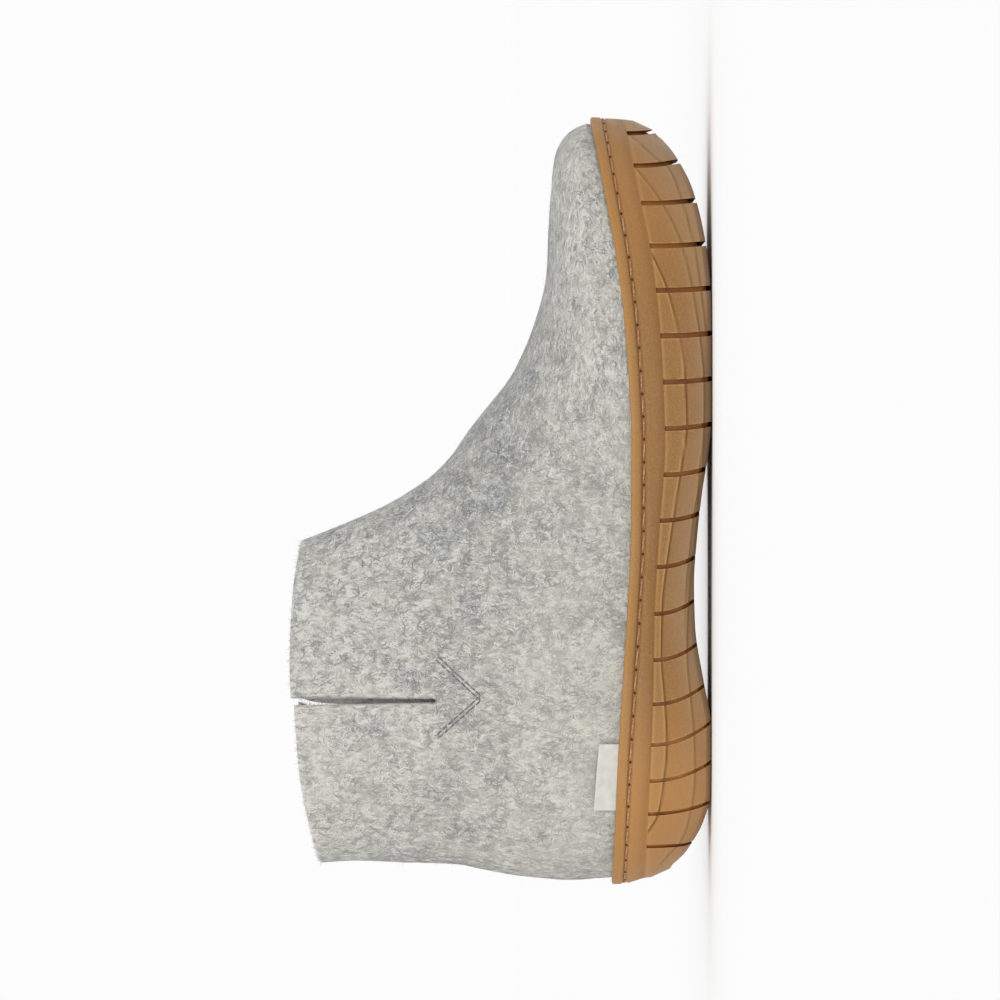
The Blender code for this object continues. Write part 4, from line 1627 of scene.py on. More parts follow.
@dataclass
class FibreCoat:
    """Ribbons of wool that lie on the felt or stand a little off it."""

    name: str
    upper: FeltUpper
    skin: Skin
    finish: FibreFinish
    count: int
    seed: int
    length: Span
    width: Span
    lift: Span
    stand: float = 0.0
    stand_power: float = 1.5
    curl: float = 0.8
    curl_middle: float = 0.08
    sway_share: float = 0.5
    steps: int = 3
    tip_width: float = 0.45
    scatter: float = 1.0
    fibre_contrast: float = 0.20
    tuft_contrast: float = 0.20
    patch_contrast: float = 3.6
    tint: float = 0.5
    # Painted shade of the shoe's inside, for fibres on the lining
    shade: float = 0.0

    def paths(self, places: Array, normals: Array, rng: np.random.Generator) -> tuple[Array, Array]:
        """Draws the middle lines of the ribbons, which follow the skin.

        Args:
            places: middle of each ribbon.
            normals: normals of the skin there.
            rng: source of the draw.

        Returns:
            The points of each line, and the skin's normals at them.
        """
        grain = self.upper.shades.grain(places)
        grain = unit(grain - normals * (grain * normals).sum(axis=1, keepdims=True))
        turn = rng.normal(0, self.scatter, self.count)[:, None]
        along = grain * np.cos(turn) + np.cross(normals, grain) * np.sin(turn)
        across = np.cross(normals, along)
        length = rng.uniform(*self.length, self.count)[:, None]
        bow = rng.normal(0, self.curl, self.count)[:, None]
        sway = rng.normal(0, self.curl * self.sway_share, self.count)[:, None]
        steps = np.linspace(-0.5, 0.5, self.steps)
        forward = (steps * length)[..., None]
        aside = ((bow * (steps**2 - self.curl_middle) + sway * steps**3) * length)[..., None]
        path = places[:, None] + along[:, None] * forward + across[:, None] * aside
        flat, flat_normals = self.skin.nearest(path.reshape(-1, 3))
        lift = rng.uniform(*self.lift, self.count)[:, None]
        rising = rng.random(self.count)[:, None] ** 2 * self.stand * (steps + 0.5) ** self.stand_power
        height = (lift + rising * length).reshape(-1, 1)
        return (flat + flat_normals * height).reshape(path.shape), flat_normals.reshape(path.shape)

    def build(self) -> Piece:
        """Builds the ribbons.

        Returns:
            The piece.
        """
        rng = np.random.default_rng(self.seed)
        places, normals = self.skin.nearest(self.skin.scatter(self.count, rng))
        path, path_normals = self.paths(places, normals, rng)
        sides = unit(np.cross(unit(np.gradient(path, axis=1)), path_normals))
        taper = np.ones(self.steps)
        taper[[0, -1]] = self.tip_width
        half = sides * (rng.uniform(*self.width, self.count)[:, None] * taper / 2)[..., None]
        points = np.stack([path + half, path - half], axis=2).reshape(-1, 3)
        start = 2 * (np.arange(self.count)[:, None] * self.steps + np.arange(self.steps - 1)).reshape(-1)
        faces = np.stack([start, start + 1, start + 3, start + 2], axis=1)
        coat = add_piece(self.name, points, faces.tolist(), self.finish.material())
        self.dress(coat, places, rng)
        return coat

    def dress(self, coat: Piece, places: Array, rng: np.random.Generator) -> None:
        """Tints the ribbons and fixes them to the shoe.

        Args:
            coat: the piece.
            places: middle of each ribbon.
            rng: source of the draw.
        """
        shades, per_fibre = self.upper.shades, 2 * self.steps
        tufts = self.tuft_contrast * shades.tufts(places)
        # The cloud's painted shade on the instep and painted light on the vamp also tint the fibres
        patches = self.patch_contrast * shades.cloud(places)
        tint = self.tint + rng.normal(0, self.fibre_contrast, self.count) + tufts + patches
        tint = np.repeat(np.clip(tint, 0, 1), per_fibre)
        warm = np.repeat(shades.warmth(places), per_fibre)
        store(coat, tint=tint, warm=warm, shade=np.full(len(tint), self.shade))
        mount(coat, Slot.FELT)


@dataclass
class EdgeHairs:
    """Short fuzz on the felt's edges and stray curled hairs inside the collar."""

    upper: FeltUpper
    finish: FibreFinish
    fuzz_count: int = 3000
    fuzz_length: Span = (0.4, 1.4)
    fuzz_radius: float = 0.045
    fuzz_points: int = 4
    fuzz_spread: float = 1.1
    fuzz_root_height: float = 0.9
    fuzz_root_fall: float = 0.8
    fuzz_lean: float = 0.8
    fuzz_scatter: float = 0.55
    fuzz_swing: float = 0.5
    curl_count: int = 90
    curl_points: int = 16
    curl_length: Span = (6.0, 24.0)
    curl_radius: float = 0.04
    curl_root_depth: float = 10.0
    curl_headings: Span = (-0.9, 1.0)
    curl_wander: float = 0.10
    curl_bends: Span = (0.02, 0.34)
    curl_bend_share: float = 0.8
    curl_tilts: Span = (-0.5, 0.35)
    curl_tilt_wander: float = 0.14
    curl_rise: float = 4.0
    tip_share: float = 0.6
    sides: int = 3
    tints: tuple[float, ...] = (0.15, 0.45, 0.7, 0.95)
    cream: float = 0.12
    seed: int = 31

    def fuzz(self, rng: np.random.Generator) -> Array:
        """Draws a short hair on the rounded edge.

        Args:
            rng: source of the draw.

        Returns:
            The hair's path.
        """
        upper = self.upper
        k = rng.integers(len(upper.edge_middle))
        end = unit(upper.edge_ends[k])
        across = rng.uniform(-self.fuzz_spread, self.fuzz_spread)
        root = upper.edge_middle[k] + upper.edge_half[k] * across
        root = root + end * upper.rim_round * (self.fuzz_root_height - self.fuzz_root_fall * abs(across) ** 3)
        lean = self.fuzz_lean * across * unit(upper.edge_half[k])
        aim = unit(end + lean + rng.normal(0, self.fuzz_scatter, 3))
        swing = rng.normal(0, self.fuzz_swing, 3)
        share = np.linspace(0, 1, self.fuzz_points)[:, None]
        return root + rng.uniform(*self.fuzz_length) * (aim * share + swing * share**2)

    def curl(self, rng: np.random.Generator) -> Array:
        """Draws a curled hair that starts on the collar's inner side.

        Args:
            rng: source of the draw.

        Returns:
            The hair's path.
        """
        rim = self.upper.inner_rim
        root = rim[rng.integers(len(rim))] - UP * rng.uniform(0.0, self.curl_root_depth)
        inward = unit((rim.mean(axis=0) - root) * (1 - UP))
        sideways = np.cross(UP, inward) * rng.choice([-1, 1])
        step = rng.uniform(*self.curl_length) / self.curl_points
        heading = rng.uniform(*self.curl_headings)
        bends = rng.normal(0, self.curl_wander, self.curl_points).cumsum()
        bends = bends + rng.uniform(*self.curl_bends) * rng.choice([-1, 1])
        angle = heading + np.cumsum(bends * self.curl_bend_share)
        tilt = rng.uniform(*self.curl_tilts) + rng.normal(0, self.curl_tilt_wander, self.curl_points).cumsum()
        flow = np.cos(angle)[:, None] * inward + np.sin(angle)[:, None] * sideways
        flow = flow * np.cos(tilt)[:, None] + np.sin(tilt)[:, None] * UP
        path = root + np.cumsum(flow * step, axis=0)
        path[:, 2] = np.minimum(path[:, 2], self.upper.last.collar_back_height + self.curl_rise)
        return path

    def build(self) -> Piece:
        """Builds the hairs.

        Returns:
            The piece.
        """
        rng = np.random.default_rng(self.seed)
        hairs = Joined()
        tints: list[Array] = []
        fuzz = (self.fuzz_count, self.fuzz, self.fuzz_radius)
        curls = (self.curl_count, self.curl, self.curl_radius)
        for count, draw, radius in (fuzz, curls):
            for _ in range(count):
                path = draw(rng)
                taper = np.linspace(radius, radius * self.tip_share, len(path))
                points, faces = tube(path, taper, self.sides)
                hairs.add(points, faces)
                tints.append(np.full(len(points), rng.choice(self.tints)))
        piece = hairs.piece("edge_hairs", self.finish.material())
        self.dress(piece, np.concatenate(tints))
        return piece

    def dress(self, piece: Piece, tint: Array) -> None:
        """Tints the hairs and fixes them to the shoe."""
        store(piece, tint=tint, warm=np.full(len(tint), self.cream), shade=np.zeros(len(tint)))
        mount(piece, Slot.FELT)


@dataclass
class CupSole:
    """Moulded rubber cup sole with lip, stitch channel, plain band and stepped lugs."""

    last: Last
    finish: RubberFinish
    groove_finish: RubberFinish
    half_columns: int = 380
    edge_samples: int = 15200
    lip_rim_inset: float = 0.6
    lip_rim_drop: float = 0.5
    groove_count: int = 18
    groove_reach: float = 1.15
    groove_least_half_width: float = 25.0
    groove_low: float = -6.0
    groove_high: float = 60.0
    groove_steps: int = 22
    groove_levels: int = 12
    groove_wall_share: float = 0.8
    step_weights: Triple = (1.0, 0.55, 0.6)
    step_height: float = 0.7
    step_edge: float = 0.16
    step_fade: float = 1.5
    step_run_out: float = 5.0
    step_top: Span = (-0.8, 0.0)
    # Painted highlight along each lug step's edge and painted shade in its crease
    bright_edge: Span = (0.45, 0.35)
    dark_crease: Span = (-0.22, 0.34)
    slope_reach: float = 0.5
    sharp_degrees: float = 32.0
    # Painted light on the lip's top; painted shade under the lip, in the stitch channel and at the band's
    # foot; painted highlight at the lugs' top
    lip_height: float = 4.0
    lip_foot: Span = (3.95, 0.3)
    channel_top: Span = (3.6, 4.0)
    channel_foot: Span = (5.1, 5.7)
    band_low: Span = (-6.5, -1.2)
    band_end: Span = (0.5, 0.9)
    lug_top: Span = (-0.1, 0.5)
    # Painted light towards the heel and the toe
    heel_glow: Span = (50.0, 115.0)
    toe_glow: Span = (50.0, 120.0)
    toe_glow_share: float = 0.5
    # Painted reflection of the pale surroundings on the lugs near the tread, less at the heel
    foot_reflection: float = 0.75
    foot_reflection_climb: Span = (0.0, 0.75)
    heel_reflection_loss: float = 0.4
    heel_reflection_reach: Span = (50.0, 110.0)
    # Strengths of the painted highlights, then of the painted shade
    edge_share: float = 0.7
    lug_top_share: float = 0.3
    groove_edge_share: float = 0.55
    crease_share: float = 0.9
    channel_share: float = 0.18
    lip_foot_share: float = 0.35
    band_share: float = 0.26

    def __post_init__(self) -> None:
        """Spaces the columns round the sole and fits the lines of the lugs."""
        feet = np.linspace(0, 2 * self.last.length, self.edge_samples)
        whole = feet[np.searchsorted(-self.last.side_angles(feet), 0)]
        self.angles = self.last.loop_angles(whole, self.half_columns)
        lines = (LUG_STEP, LUG_FOOT_STEP, TOE_STEP)
        self.steps = [(SmoothCurve(line["x"], line["z"]), line["x"][0], line["x"][-1]) for line in lines]

    def relief(self, points: Array) -> tuple[Array, Array, Array]:
        """Finds the steps of the lugs at points on the sole's side.

        Args:
            points: points in millimetres.

        Returns:
            How far each point stands out, and the strengths of the painted highlight on each step's edge and
            of the painted shade in its crease.
        """
        x, z = points[:, 0], points[:, 2]
        out, edge, crease = np.zeros((3, len(points)))
        below_band = smoothstep(self.last.line[Line.BAND](x) - z, *self.step_top)
        for (line, start, stop), weight in zip(self.steps, self.step_weights):
            here = weight * below_band * smoothstep(x - start, 0.0, self.step_run_out)
            here = here * smoothstep(stop - x, 0.0, self.step_run_out)
            slope = (line(x + self.slope_reach) - line(x - self.slope_reach)) / (2 * self.slope_reach)
            above = (z - line(x)) / np.hypot(1.0, slope)
            side = np.tanh(above / self.step_edge)
            out += here * self.step_height * 0.5 * side * np.exp(-np.abs(above) / self.step_fade)
            edge += here * bell(above, *self.bright_edge)
            crease += here * bell(above, *self.dark_crease)
        return out, np.clip(edge, 0, 1), np.clip(crease, 0, 1)

    def wall_rings(self) -> list[Array]:
        """Makes the rings of the sole's outer side.

        Returns:
            The rings, from lip to tread.
        """
        last = self.last
        rows = [last.profile_ring(self.angles, row) for row in SOLE_PROFILE]
        rings: list[Array] = []
        for row, first, second in zip(SOLE_PROFILE, rows, rows[1:]):
            rings += [first + (second - first) * share for share in np.arange(row[-1]) / row[-1]]
        rings.append(rows[-1])
        normal = np.column_stack([last.outward(self.angles), np.zeros(len(self.angles))])
        return [ring + normal * self.relief(ring)[0][:, None] for ring in rings]

    def slab(self, x: Array, y: Array, z: Array, half_width: float) -> Mesh:
        """Makes an upright curved slab.

        Args:
            x: places along the shoe, a row of them for each level.
            y: places across the shoe.
            z: heights of the levels.
            half_width: half of the slab's thickness.

        Returns:
            Points and faces of the slab.
        """
        levels, across = x.shape
        sheet = np.stack([x, np.broadcast_to(y, x.shape), np.broadcast_to(z[:, None], x.shape)], axis=-1)
        offset = half_width * FORWARD
        points = np.concatenate([(sheet - offset).reshape(-1, 3), (sheet + offset).reshape(-1, 3)])
        back = np.arange(levels * across).reshape(levels, across)
        faces: list[Face] = []
        for grid in (back, back + levels * across):
            corners = (grid[:-1, :-1], grid[:-1, 1:], grid[1:, 1:], grid[1:, :-1])
            faces += np.stack(corners, axis=-1).reshape(-1, 4).tolist()
        rim = np.concatenate([back[0], back[1:, -1], back[-1, -2::-1], back[-2:0:-1, 0]])
        nexts = np.roll(rim, -1)
        faces += np.stack([rim, nexts, nexts + levels * across, rim + levels * across], axis=1).tolist()
        return points, faces

    def groove_slabs(self) -> Piece:
        """Makes the slabs that cut the cross grooves.

        Returns:
            The slabs as one object.
        """
        groove, slabs = curves(GROOVES), Joined()
        across = np.linspace(-self.groove_reach, self.groove_reach, self.groove_steps + 1)
        inside = np.clip(1 - (across / self.groove_wall_share) ** 2, 0, 1)
        for index in range(self.groove_count):
            edge_x, lean, arch, width = (float(curve(index)) for curve in groove.values())
            angle = math.acos(edge_x / self.last.half_length)
            lateral, medial = self.last.outline(np.array([-angle, angle]))[:, 1]
            y = (lateral + medial) / 2 + across * max((medial - lateral) / 2, self.groove_least_half_width)
            top, foot = (float(self.last.line[line](edge_x)) for line in (Line.BAND, Line.FLOOR))
            z = np.array([self.groove_low, *np.linspace(foot, top, self.groove_levels), self.groove_high])
            drop = np.clip((top - z) / (top - foot), 0, 1)
            x = edge_x + lean * (drop**2)[:, None] + arch * inside[None, :]
            slabs.add(*self.slab(x, y, z, width / 2))
        cutter = slabs.piece("groove_slabs", self.groove_finish.material())
        turn_faces_out(cutter)
        return cutter

    def cut(self, obj: Piece, cutter: Piece) -> None:
        """Takes the cutter's shape out of an object for good and removes the cutter.

        Args:
            obj: the object that is cut.
            cutter: the shape that is taken out, with its finish.
        """
        boolean = obj.modifiers.new("cut", "BOOLEAN")
        boolean.operation = "DIFFERENCE"
        boolean.solver = "MANIFOLD"
        boolean.material_mode = "TRANSFER"
        boolean.object = cutter
        evaluated = obj.evaluated_get(bpy.context.evaluated_depsgraph_get())
        result = bpy.data.meshes.new_from_object(evaluated)
        obj.modifiers.clear()
        obj.data = result
        bpy.data.objects.remove(cutter)

    def groove_edges(self, sole: Piece) -> Array:
        """Finds the points on the grooves' edges, which take a painted highlight.

        Args:
            sole: the sole with its grooves cut.

        Returns:
            True for each such point.
        """
        in_groove = np.zeros(len(sole.data.vertices), bool)
        on_lug = in_groove.copy()
        for face in sole.data.polygons:
            (in_groove if face.material_index else on_lug)[list(face.vertices)] = True
        return in_groove & on_lug

    def build(self) -> Piece:
        """Builds the sole.

        Returns:
            The rubber piece.
        """
        last = self.last
        rings = [
            last.cup_ring(self.angles, last.lip_thickness, 0),
            last.edge_ring(self.angles, last.lip_thickness, Line.LIP, -self.lip_rim_drop),
            last.edge_ring(self.angles, last.lip_thickness - self.lip_rim_inset, Line.LIP, 0),
        ]
        sole = stacked_rings("rubber_sole", rings + self.wall_rings(), self.finish.material())
        core_rings = [last.profile_ring(self.angles[::2], row) for row in GROOVE_PROFILE]
        core = stacked_rings("groove_floor", core_rings, self.groove_finish.material())
        slabs = self.groove_slabs()
        self.cut(slabs, core)
        self.cut(sole, slabs)
        sole.data.shade_smooth()
        sole.data.set_sharp_from_angle(angle=math.radians(self.sharp_degrees))
        self.dress(sole)
        return sole

    def dress(self, sole: Piece) -> None:
        """Stores where the rubber gets its painted light, highlights, reflection and shade, and fixes the sole
        to the shoe.

        Args:
            sole: the rubber piece.
        """
        line, points = self.last.line, np.empty(3 * len(sole.data.vertices))
        sole.data.vertices.foreach_get("co", points)
        points = points.reshape(-1, 3) / MM
        x, z = points[:, 0], points[:, 2]
        _, edge, crease = self.relief(points)
        below_lip = line[Line.LIP](x) - z
        channel = smoothstep(below_lip, *self.channel_top) * (1 - smoothstep(below_lip, *self.channel_foot))
        above_step = z - line[Line.BAND](x)
        band = smoothstep(-above_step, *self.band_low) ** 2 * smoothstep(above_step, *self.band_end)
        climb = (z - line[Line.FLOOR](x)) / np.maximum(line[Line.BAND](x), 1)
        painted_reflection = self.foot_reflection - self.heel_reflection_loss * smoothstep(-x, *self.heel_reflection_reach)
        edge = self.edge_share * edge + self.lug_top_share * bell(above_step, *self.lug_top)
        crease = self.crease_share * crease + self.channel_share * channel
        crease = crease + self.lip_foot_share * bell(below_lip, *self.lip_foot) + self.band_share * band
        # ends and lip: painted light; foot: painted reflection; edge: painted highlight; crease: painted shade
        store(
            sole,
            ends=smoothstep(-x, *self.heel_glow) + self.toe_glow_share * smoothstep(x, *self.toe_glow),
            lip=1 - smoothstep(below_lip, 0.0, self.lip_height),
            foot=painted_reflection * (1 - smoothstep(climb, *self.foot_reflection_climb)),
            edge=np.clip(edge + self.groove_edge_share * self.groove_edges(sole), 0, 1),
            crease=np.clip(crease, 0, 1),
        )
        mount(sole, Slot.RUBBER, "outsole")


@dataclass
class SoleSeam:
    """Stitches that join lip and felt, with dark discs of painted shade in their holes, in the channel under
    the lip.
    """

    last: Last
    thread: ThreadFinish
    hole: ThreadFinish
    pitch: float = 8.3
    drop: float = 4.55
    channel_inset: float = 0.55
    end_extra_inset: float = 0.27
    thread_radius: float = 0.34
    thread_sides: int = 8
    stitch_share: float = 0.74
    stitch_rises: tuple[float, ...] = (-0.3, 0.06, 0.16, 0.18, 0.16, 0.06, -0.3)
    stitch_taper: tuple[float, ...] = (0.7, 0.95, 1.0, 1.0, 1.0, 0.95, 0.7)
    stitch_slant: float = 0.22
    hole_radius: float = 0.46
    hole_stretch: float = 1.3
    hole_points: int = 10
    hole_rings: tuple[Span, ...] = ((1.0, 0.0), (0.95, 0.12), (0.55, 0.16))

    def along(self, feet: Array, side: Side) -> tuple[Array, Array]:
        """Finds points on the channel's floor.

        Args:
            feet: distances from the heel along the edge.
            side: side of the foot.

        Returns:
            The points and their outward normals.
        """
        angles = side.value * self.last.side_angles(feet)
        toe, heel = self.last.end_shares(angles)
        inset = self.channel_inset + self.end_extra_inset * (toe + heel)
        normal = self.last.outward(angles)
        places = self.last.edge_ring(angles, inset, Line.LIP, -self.drop)
        return places, np.column_stack([normal, np.zeros(len(normal))])

    def stitch(self, start: float, stop: float, side: Side) -> Mesh:
        """Makes one stitch.

        Args:
            start: distance of its start from the heel along the edge.
            stop: distance of its end.
            side: side of the foot.

        Returns:
            Points and faces of the stitch.
        """
        count = len(self.stitch_rises)
        place, normal = self.along(np.linspace(start, stop, count), side)
        path = place + normal * np.array(self.stitch_rises)[:, None]
        path[:, 2] += np.linspace(self.stitch_slant, -self.stitch_slant, count)
        return tube(path, self.thread_radius * np.array(self.stitch_taper), self.thread_sides)

    def pit(self, place: Array, normal: Array) -> Mesh:
        """Makes a dark oval disc of painted shade for a hole in the channel's floor.

        Args:
            place: middle of the hole.
            normal: normal of the floor there.

        Returns:
            Points and faces of the hole.
        """
        count = self.hole_points
        turn = np.linspace(0, 2 * math.pi, count, endpoint=False)[:, None]
        flat = np.cross(UP, normal) * np.cos(turn) * self.hole_stretch + UP * np.sin(turn)
        rings = [place + flat * size * self.hole_radius + normal * height for size, height in self.hole_rings]
        faces: list[Face] = []
        for k in range(len(rings) - 1):
            faces += ring_faces(k * count, (k + 1) * count, count)
        faces.append(tuple(range((len(rings) - 1) * count, len(rings) * count)))
        return np.concatenate(rings), faces

    def build(self) -> list[Piece]:
        """Builds the thread and the painted shade of its holes.

        Returns:
            Both pieces.
        """
        threads, holes = Joined(), Joined()
        walk = np.linspace(math.pi, 0, self.last.plan_samples)
        for side in Side:
            whole = np.linalg.norm(np.diff(self.last.outline(side.value * walk), axis=0), axis=1).sum()
            count = round(whole / self.pitch)
            for k in range(count):
                start = whole * (k + 0.5 - self.stitch_share / 2) / count
                stop = whole * (k + 0.5 + self.stitch_share / 2) / count
                threads.add(*self.stitch(start, stop, side))
                end = k if side is Side.LATERAL else k + 1
                place, normal = self.along(np.array([whole * end / count]), side)
                holes.add(*self.pit(place[0], normal[0]))
        thread = threads.piece("sole_thread", self.thread.material())
        hole = holes.piece("stitch_holes", self.hole.material())
        mount(thread, Slot.TAPE)
        mount(hole, Slot.RUBBER)
        return [thread, hole]


@dataclass
class SlitStitches:
    """Two rows of thread in a V at the foot of each slit."""

    upper: FeltUpper
    finish: ThreadFinish
    apex: Span = (-71.5, 83.4)
    front_end: Span = (-57.0, 99.2)
    rear_end: Span = (-85.4, 99.0)
    row_gap: float = 1.35
    stitch: float = 2.3
    gap: float = 0.25
    radius: float = 0.28
    sides: int = 7
    rises: tuple[float, ...] = (-0.25, 0.05, 0.14, 0.05, -0.25)

    def rows(self) -> list[tuple[Array, Array]]:
        """Finds the straight rows of the V.

        Returns:
            The start and the end of each row, in x and z.
        """
        apex = np.array(self.apex)
        rows = []
        for end in (np.array(self.front_end), np.array(self.rear_end)):
            along = unit(end - apex)
            square = np.array([-along[1], along[0]]) * np.sign(end[0] - apex[0])
            for turn in (-0.5, 0.5):
                shift = square * turn * self.row_gap
                rows.append((apex + shift - along * turn * self.row_gap, end + shift))
        return rows

    def build(self) -> Piece:
        """Builds the stitches of both sides.

        Returns:
            The piece.
        """
        threads, points = Joined(), len(self.rises)
        for side in Side:
            shift = np.array([self.upper.medial_slit_shift if side is Side.MEDIAL else 0.0, 0.0])
            for start, end in self.rows():
                start, end = start + shift, end + shift
                count = round(float(np.linalg.norm(end - start)) / (self.stitch + self.gap))
                for k in range(count):
                    low, high = k / count, (k + 1 - self.gap / (self.stitch + self.gap)) / count
                    places = [start + (end - start) * share for share in np.linspace(low, high, points)]
                    found = [self.upper.side_point(x, z, side) for x, z in places]
                    path = [point + normal * rise for (point, normal), rise in zip(found, self.rises)]
                    threads.add(*tube(np.array(path), np.full(points, self.radius), self.sides))
        piece = threads.piece("slit_stitches", self.finish.material())
        mount(piece, Slot.FELT)
        return piece


@dataclass
class Insole:
    """Felt insole that lies in the cup, soft at its edge."""

    last: Last
    finish: FeltFinish
    thickness: float = 5.0
    edge_inset: float = 8.45
    edge_round: float = 1.4
    edge_rings: int = 5
    half_columns: int = 120
    toe_reach: float = 14.0
    patch_seed: int = 41
    patch_sizes: Span = (5.0, 20.0)
    patch_depth: float = 0.03
    patch_limit: float = 0.08
    shade: float = 0.35

    def build(self) -> Piece:
        """Builds the insole.

        Returns:
            The felt piece.
        """
        last = self.last
        angles = last.loop_angles(last.toe_foot + self.toe_reach, self.half_columns)
        top = last.seat_gap + self.thickness
        rings = [last.cup_ring(angles, self.edge_inset, last.seat_gap)]
        for turn in np.linspace(0, math.pi / 2, self.edge_rings):
            inset = self.edge_inset + self.edge_round * (1 - math.cos(turn))
            rings.append(last.cup_ring(angles, inset, top - self.edge_round * (1 - math.sin(turn))))
        insole = stacked_rings("felt_insole", rings, self.finish.material())
        self.dress(insole, np.concatenate(rings))
        return insole

    def dress(self, insole: Piece, points: Array) -> None:
        """Stores what the finish needs and fixes the insole to the shoe.

        Args:
            insole: the felt piece.
            points: its points in millimetres.
        """
        cloud = self.patch_depth * Waves(self.patch_seed, *self.patch_sizes)(points)
        level = np.ones(len(points))
        cloud = np.clip(cloud, -self.patch_limit, self.patch_limit)
        # The whole insole takes painted shade of the shoe's inside
        store(insole, cloud=cloud, warm=0 * level, inside=self.shade * level, forward=level)
        mount(insole, Slot.INSOLE, "insole")


@dataclass
class SideTab:
    """Folded woven tab that stands in the seam between lip and felt at the outer side of the heel."""

    upper: FeltUpper
    finish: TapeFinish
    front_x: float = -88.0
    back_x: float = -112.0
    foot: float = -0.6
    height: float = 7.2
    thickness: float = 0.42
    gap: float = 0.45
    felt_gap: float = 0.35
    stand_off: float = 0.9
    stand_power: float = 1.5
    slant: float = 0.7
    wave_height: float = 0.12
    wave_turn: float = 7.0
    wave_start: float = 0.6
    columns: int = 40
    rows: int = 12
    fold_steps: int = 6
    sharp_degrees: float = 40.0

    def outer_profile(self) -> list[Span]:
        """Makes the outside of the fold.

        Returns:
            Rise above the lip as a share of the height, and distance from the tab's back, for each row.
        """
        fold = self.gap / 2 + self.thickness
        profile = [(rise, self.gap + 2 * self.thickness) for rise in np.linspace(0, 1, self.rows)]
        for turn in np.linspace(0, math.pi, self.fold_steps + 1)[1:-1]:
            profile.append((1 + fold * math.sin(turn) / self.height, fold * (1 + math.cos(turn))))
        return profile + [(rise, 0.0) for rise in np.linspace(1, 0, self.rows)]

    def inner_profile(self, profile: list[Span]) -> list[Span]:
        """Makes the inside of the fold.

        Args:
            profile: outside of the fold.

        Returns:
            A row for each row of the outside.
        """
        centre = self.gap / 2 + self.thickness
        shrink = (self.gap / 2) / centre
        found = []
        for rise, off in profile:
            over = max(rise - 1, 0) * shrink
            found.append((min(rise, 1) + over, centre + (off - centre) * shrink))
        return found

    def sheet(self, profile: list[Span]) -> Array:
        """Makes a sheet that follows the felt.

        Args:
            profile: rise and distance from the tab's back, for each row.

        Returns:
            Points, one row of them for each row of the profile.
        """
        last = self.upper.last
        share = np.linspace(0, 1, self.columns)
        x = self.back_x + (self.front_x - self.back_x) * share
        height = self.height - self.slant * share
        points = []
        for rise, off in profile:
            z = last.line[Line.LIP](x) + self.foot + rise * (height - self.foot)
            wave = self.wave_height * np.sin(share * self.wave_turn + self.wave_start) * rise
            back = last.felt_side(x, z, Side.LATERAL) - self.felt_gap
            points.append(np.column_stack([x, back - off - self.stand_off * rise**self.stand_power - wave, z]))
        return np.concatenate(points)

    def build(self) -> Piece:
        """Builds the tab.

        Returns:
            The tape piece.
        """
        outside = self.outer_profile()
        inside = self.inner_profile(outside)[::-1]
        points = np.concatenate([self.sheet(outside), self.sheet(inside)])
        loop = len(outside) + len(inside)
        grid = np.arange(len(points)).reshape(loop, self.columns)
        faces: list[Face] = []
        for here, there in zip(grid, np.roll(grid, -1, axis=0)):
            faces += np.stack([here[:-1], here[1:], there[1:], there[:-1]], axis=1).tolist()
        for end in grid[:, [0, -1]].T.tolist():
            for r in range(len(outside) - 1):
                faces.append((end[r], end[r + 1], end[loop - 2 - r], end[loop - 1 - r]))
        tab = add_piece("side_tape", points, faces, self.finish.material())
        turn_faces_out(tab)
        tab.data.set_sharp_from_angle(angle=math.radians(self.sharp_degrees))
        mount(tab, Slot.TAPE, "side_tab")
        return tab


@dataclass(frozen=True)
class Sun:
    """A broad soft light, with the direction in which it stands and the angle that it covers."""

    name: str
    source: Triple
    strength: float
    spread_degrees: float

    def build(self) -> None:
        """Adds the light."""
        data = bpy.data.lights.new(self.name, "SUN")
        data.energy, data.angle = self.strength, math.radians(self.spread_degrees)
        light = bpy.data.objects.new(self.name, data)
        light.rotation_euler = (-Vector(self.source)).to_track_quat("-Z", "Y").to_euler()
        bpy.context.scene.collection.objects.link(light)


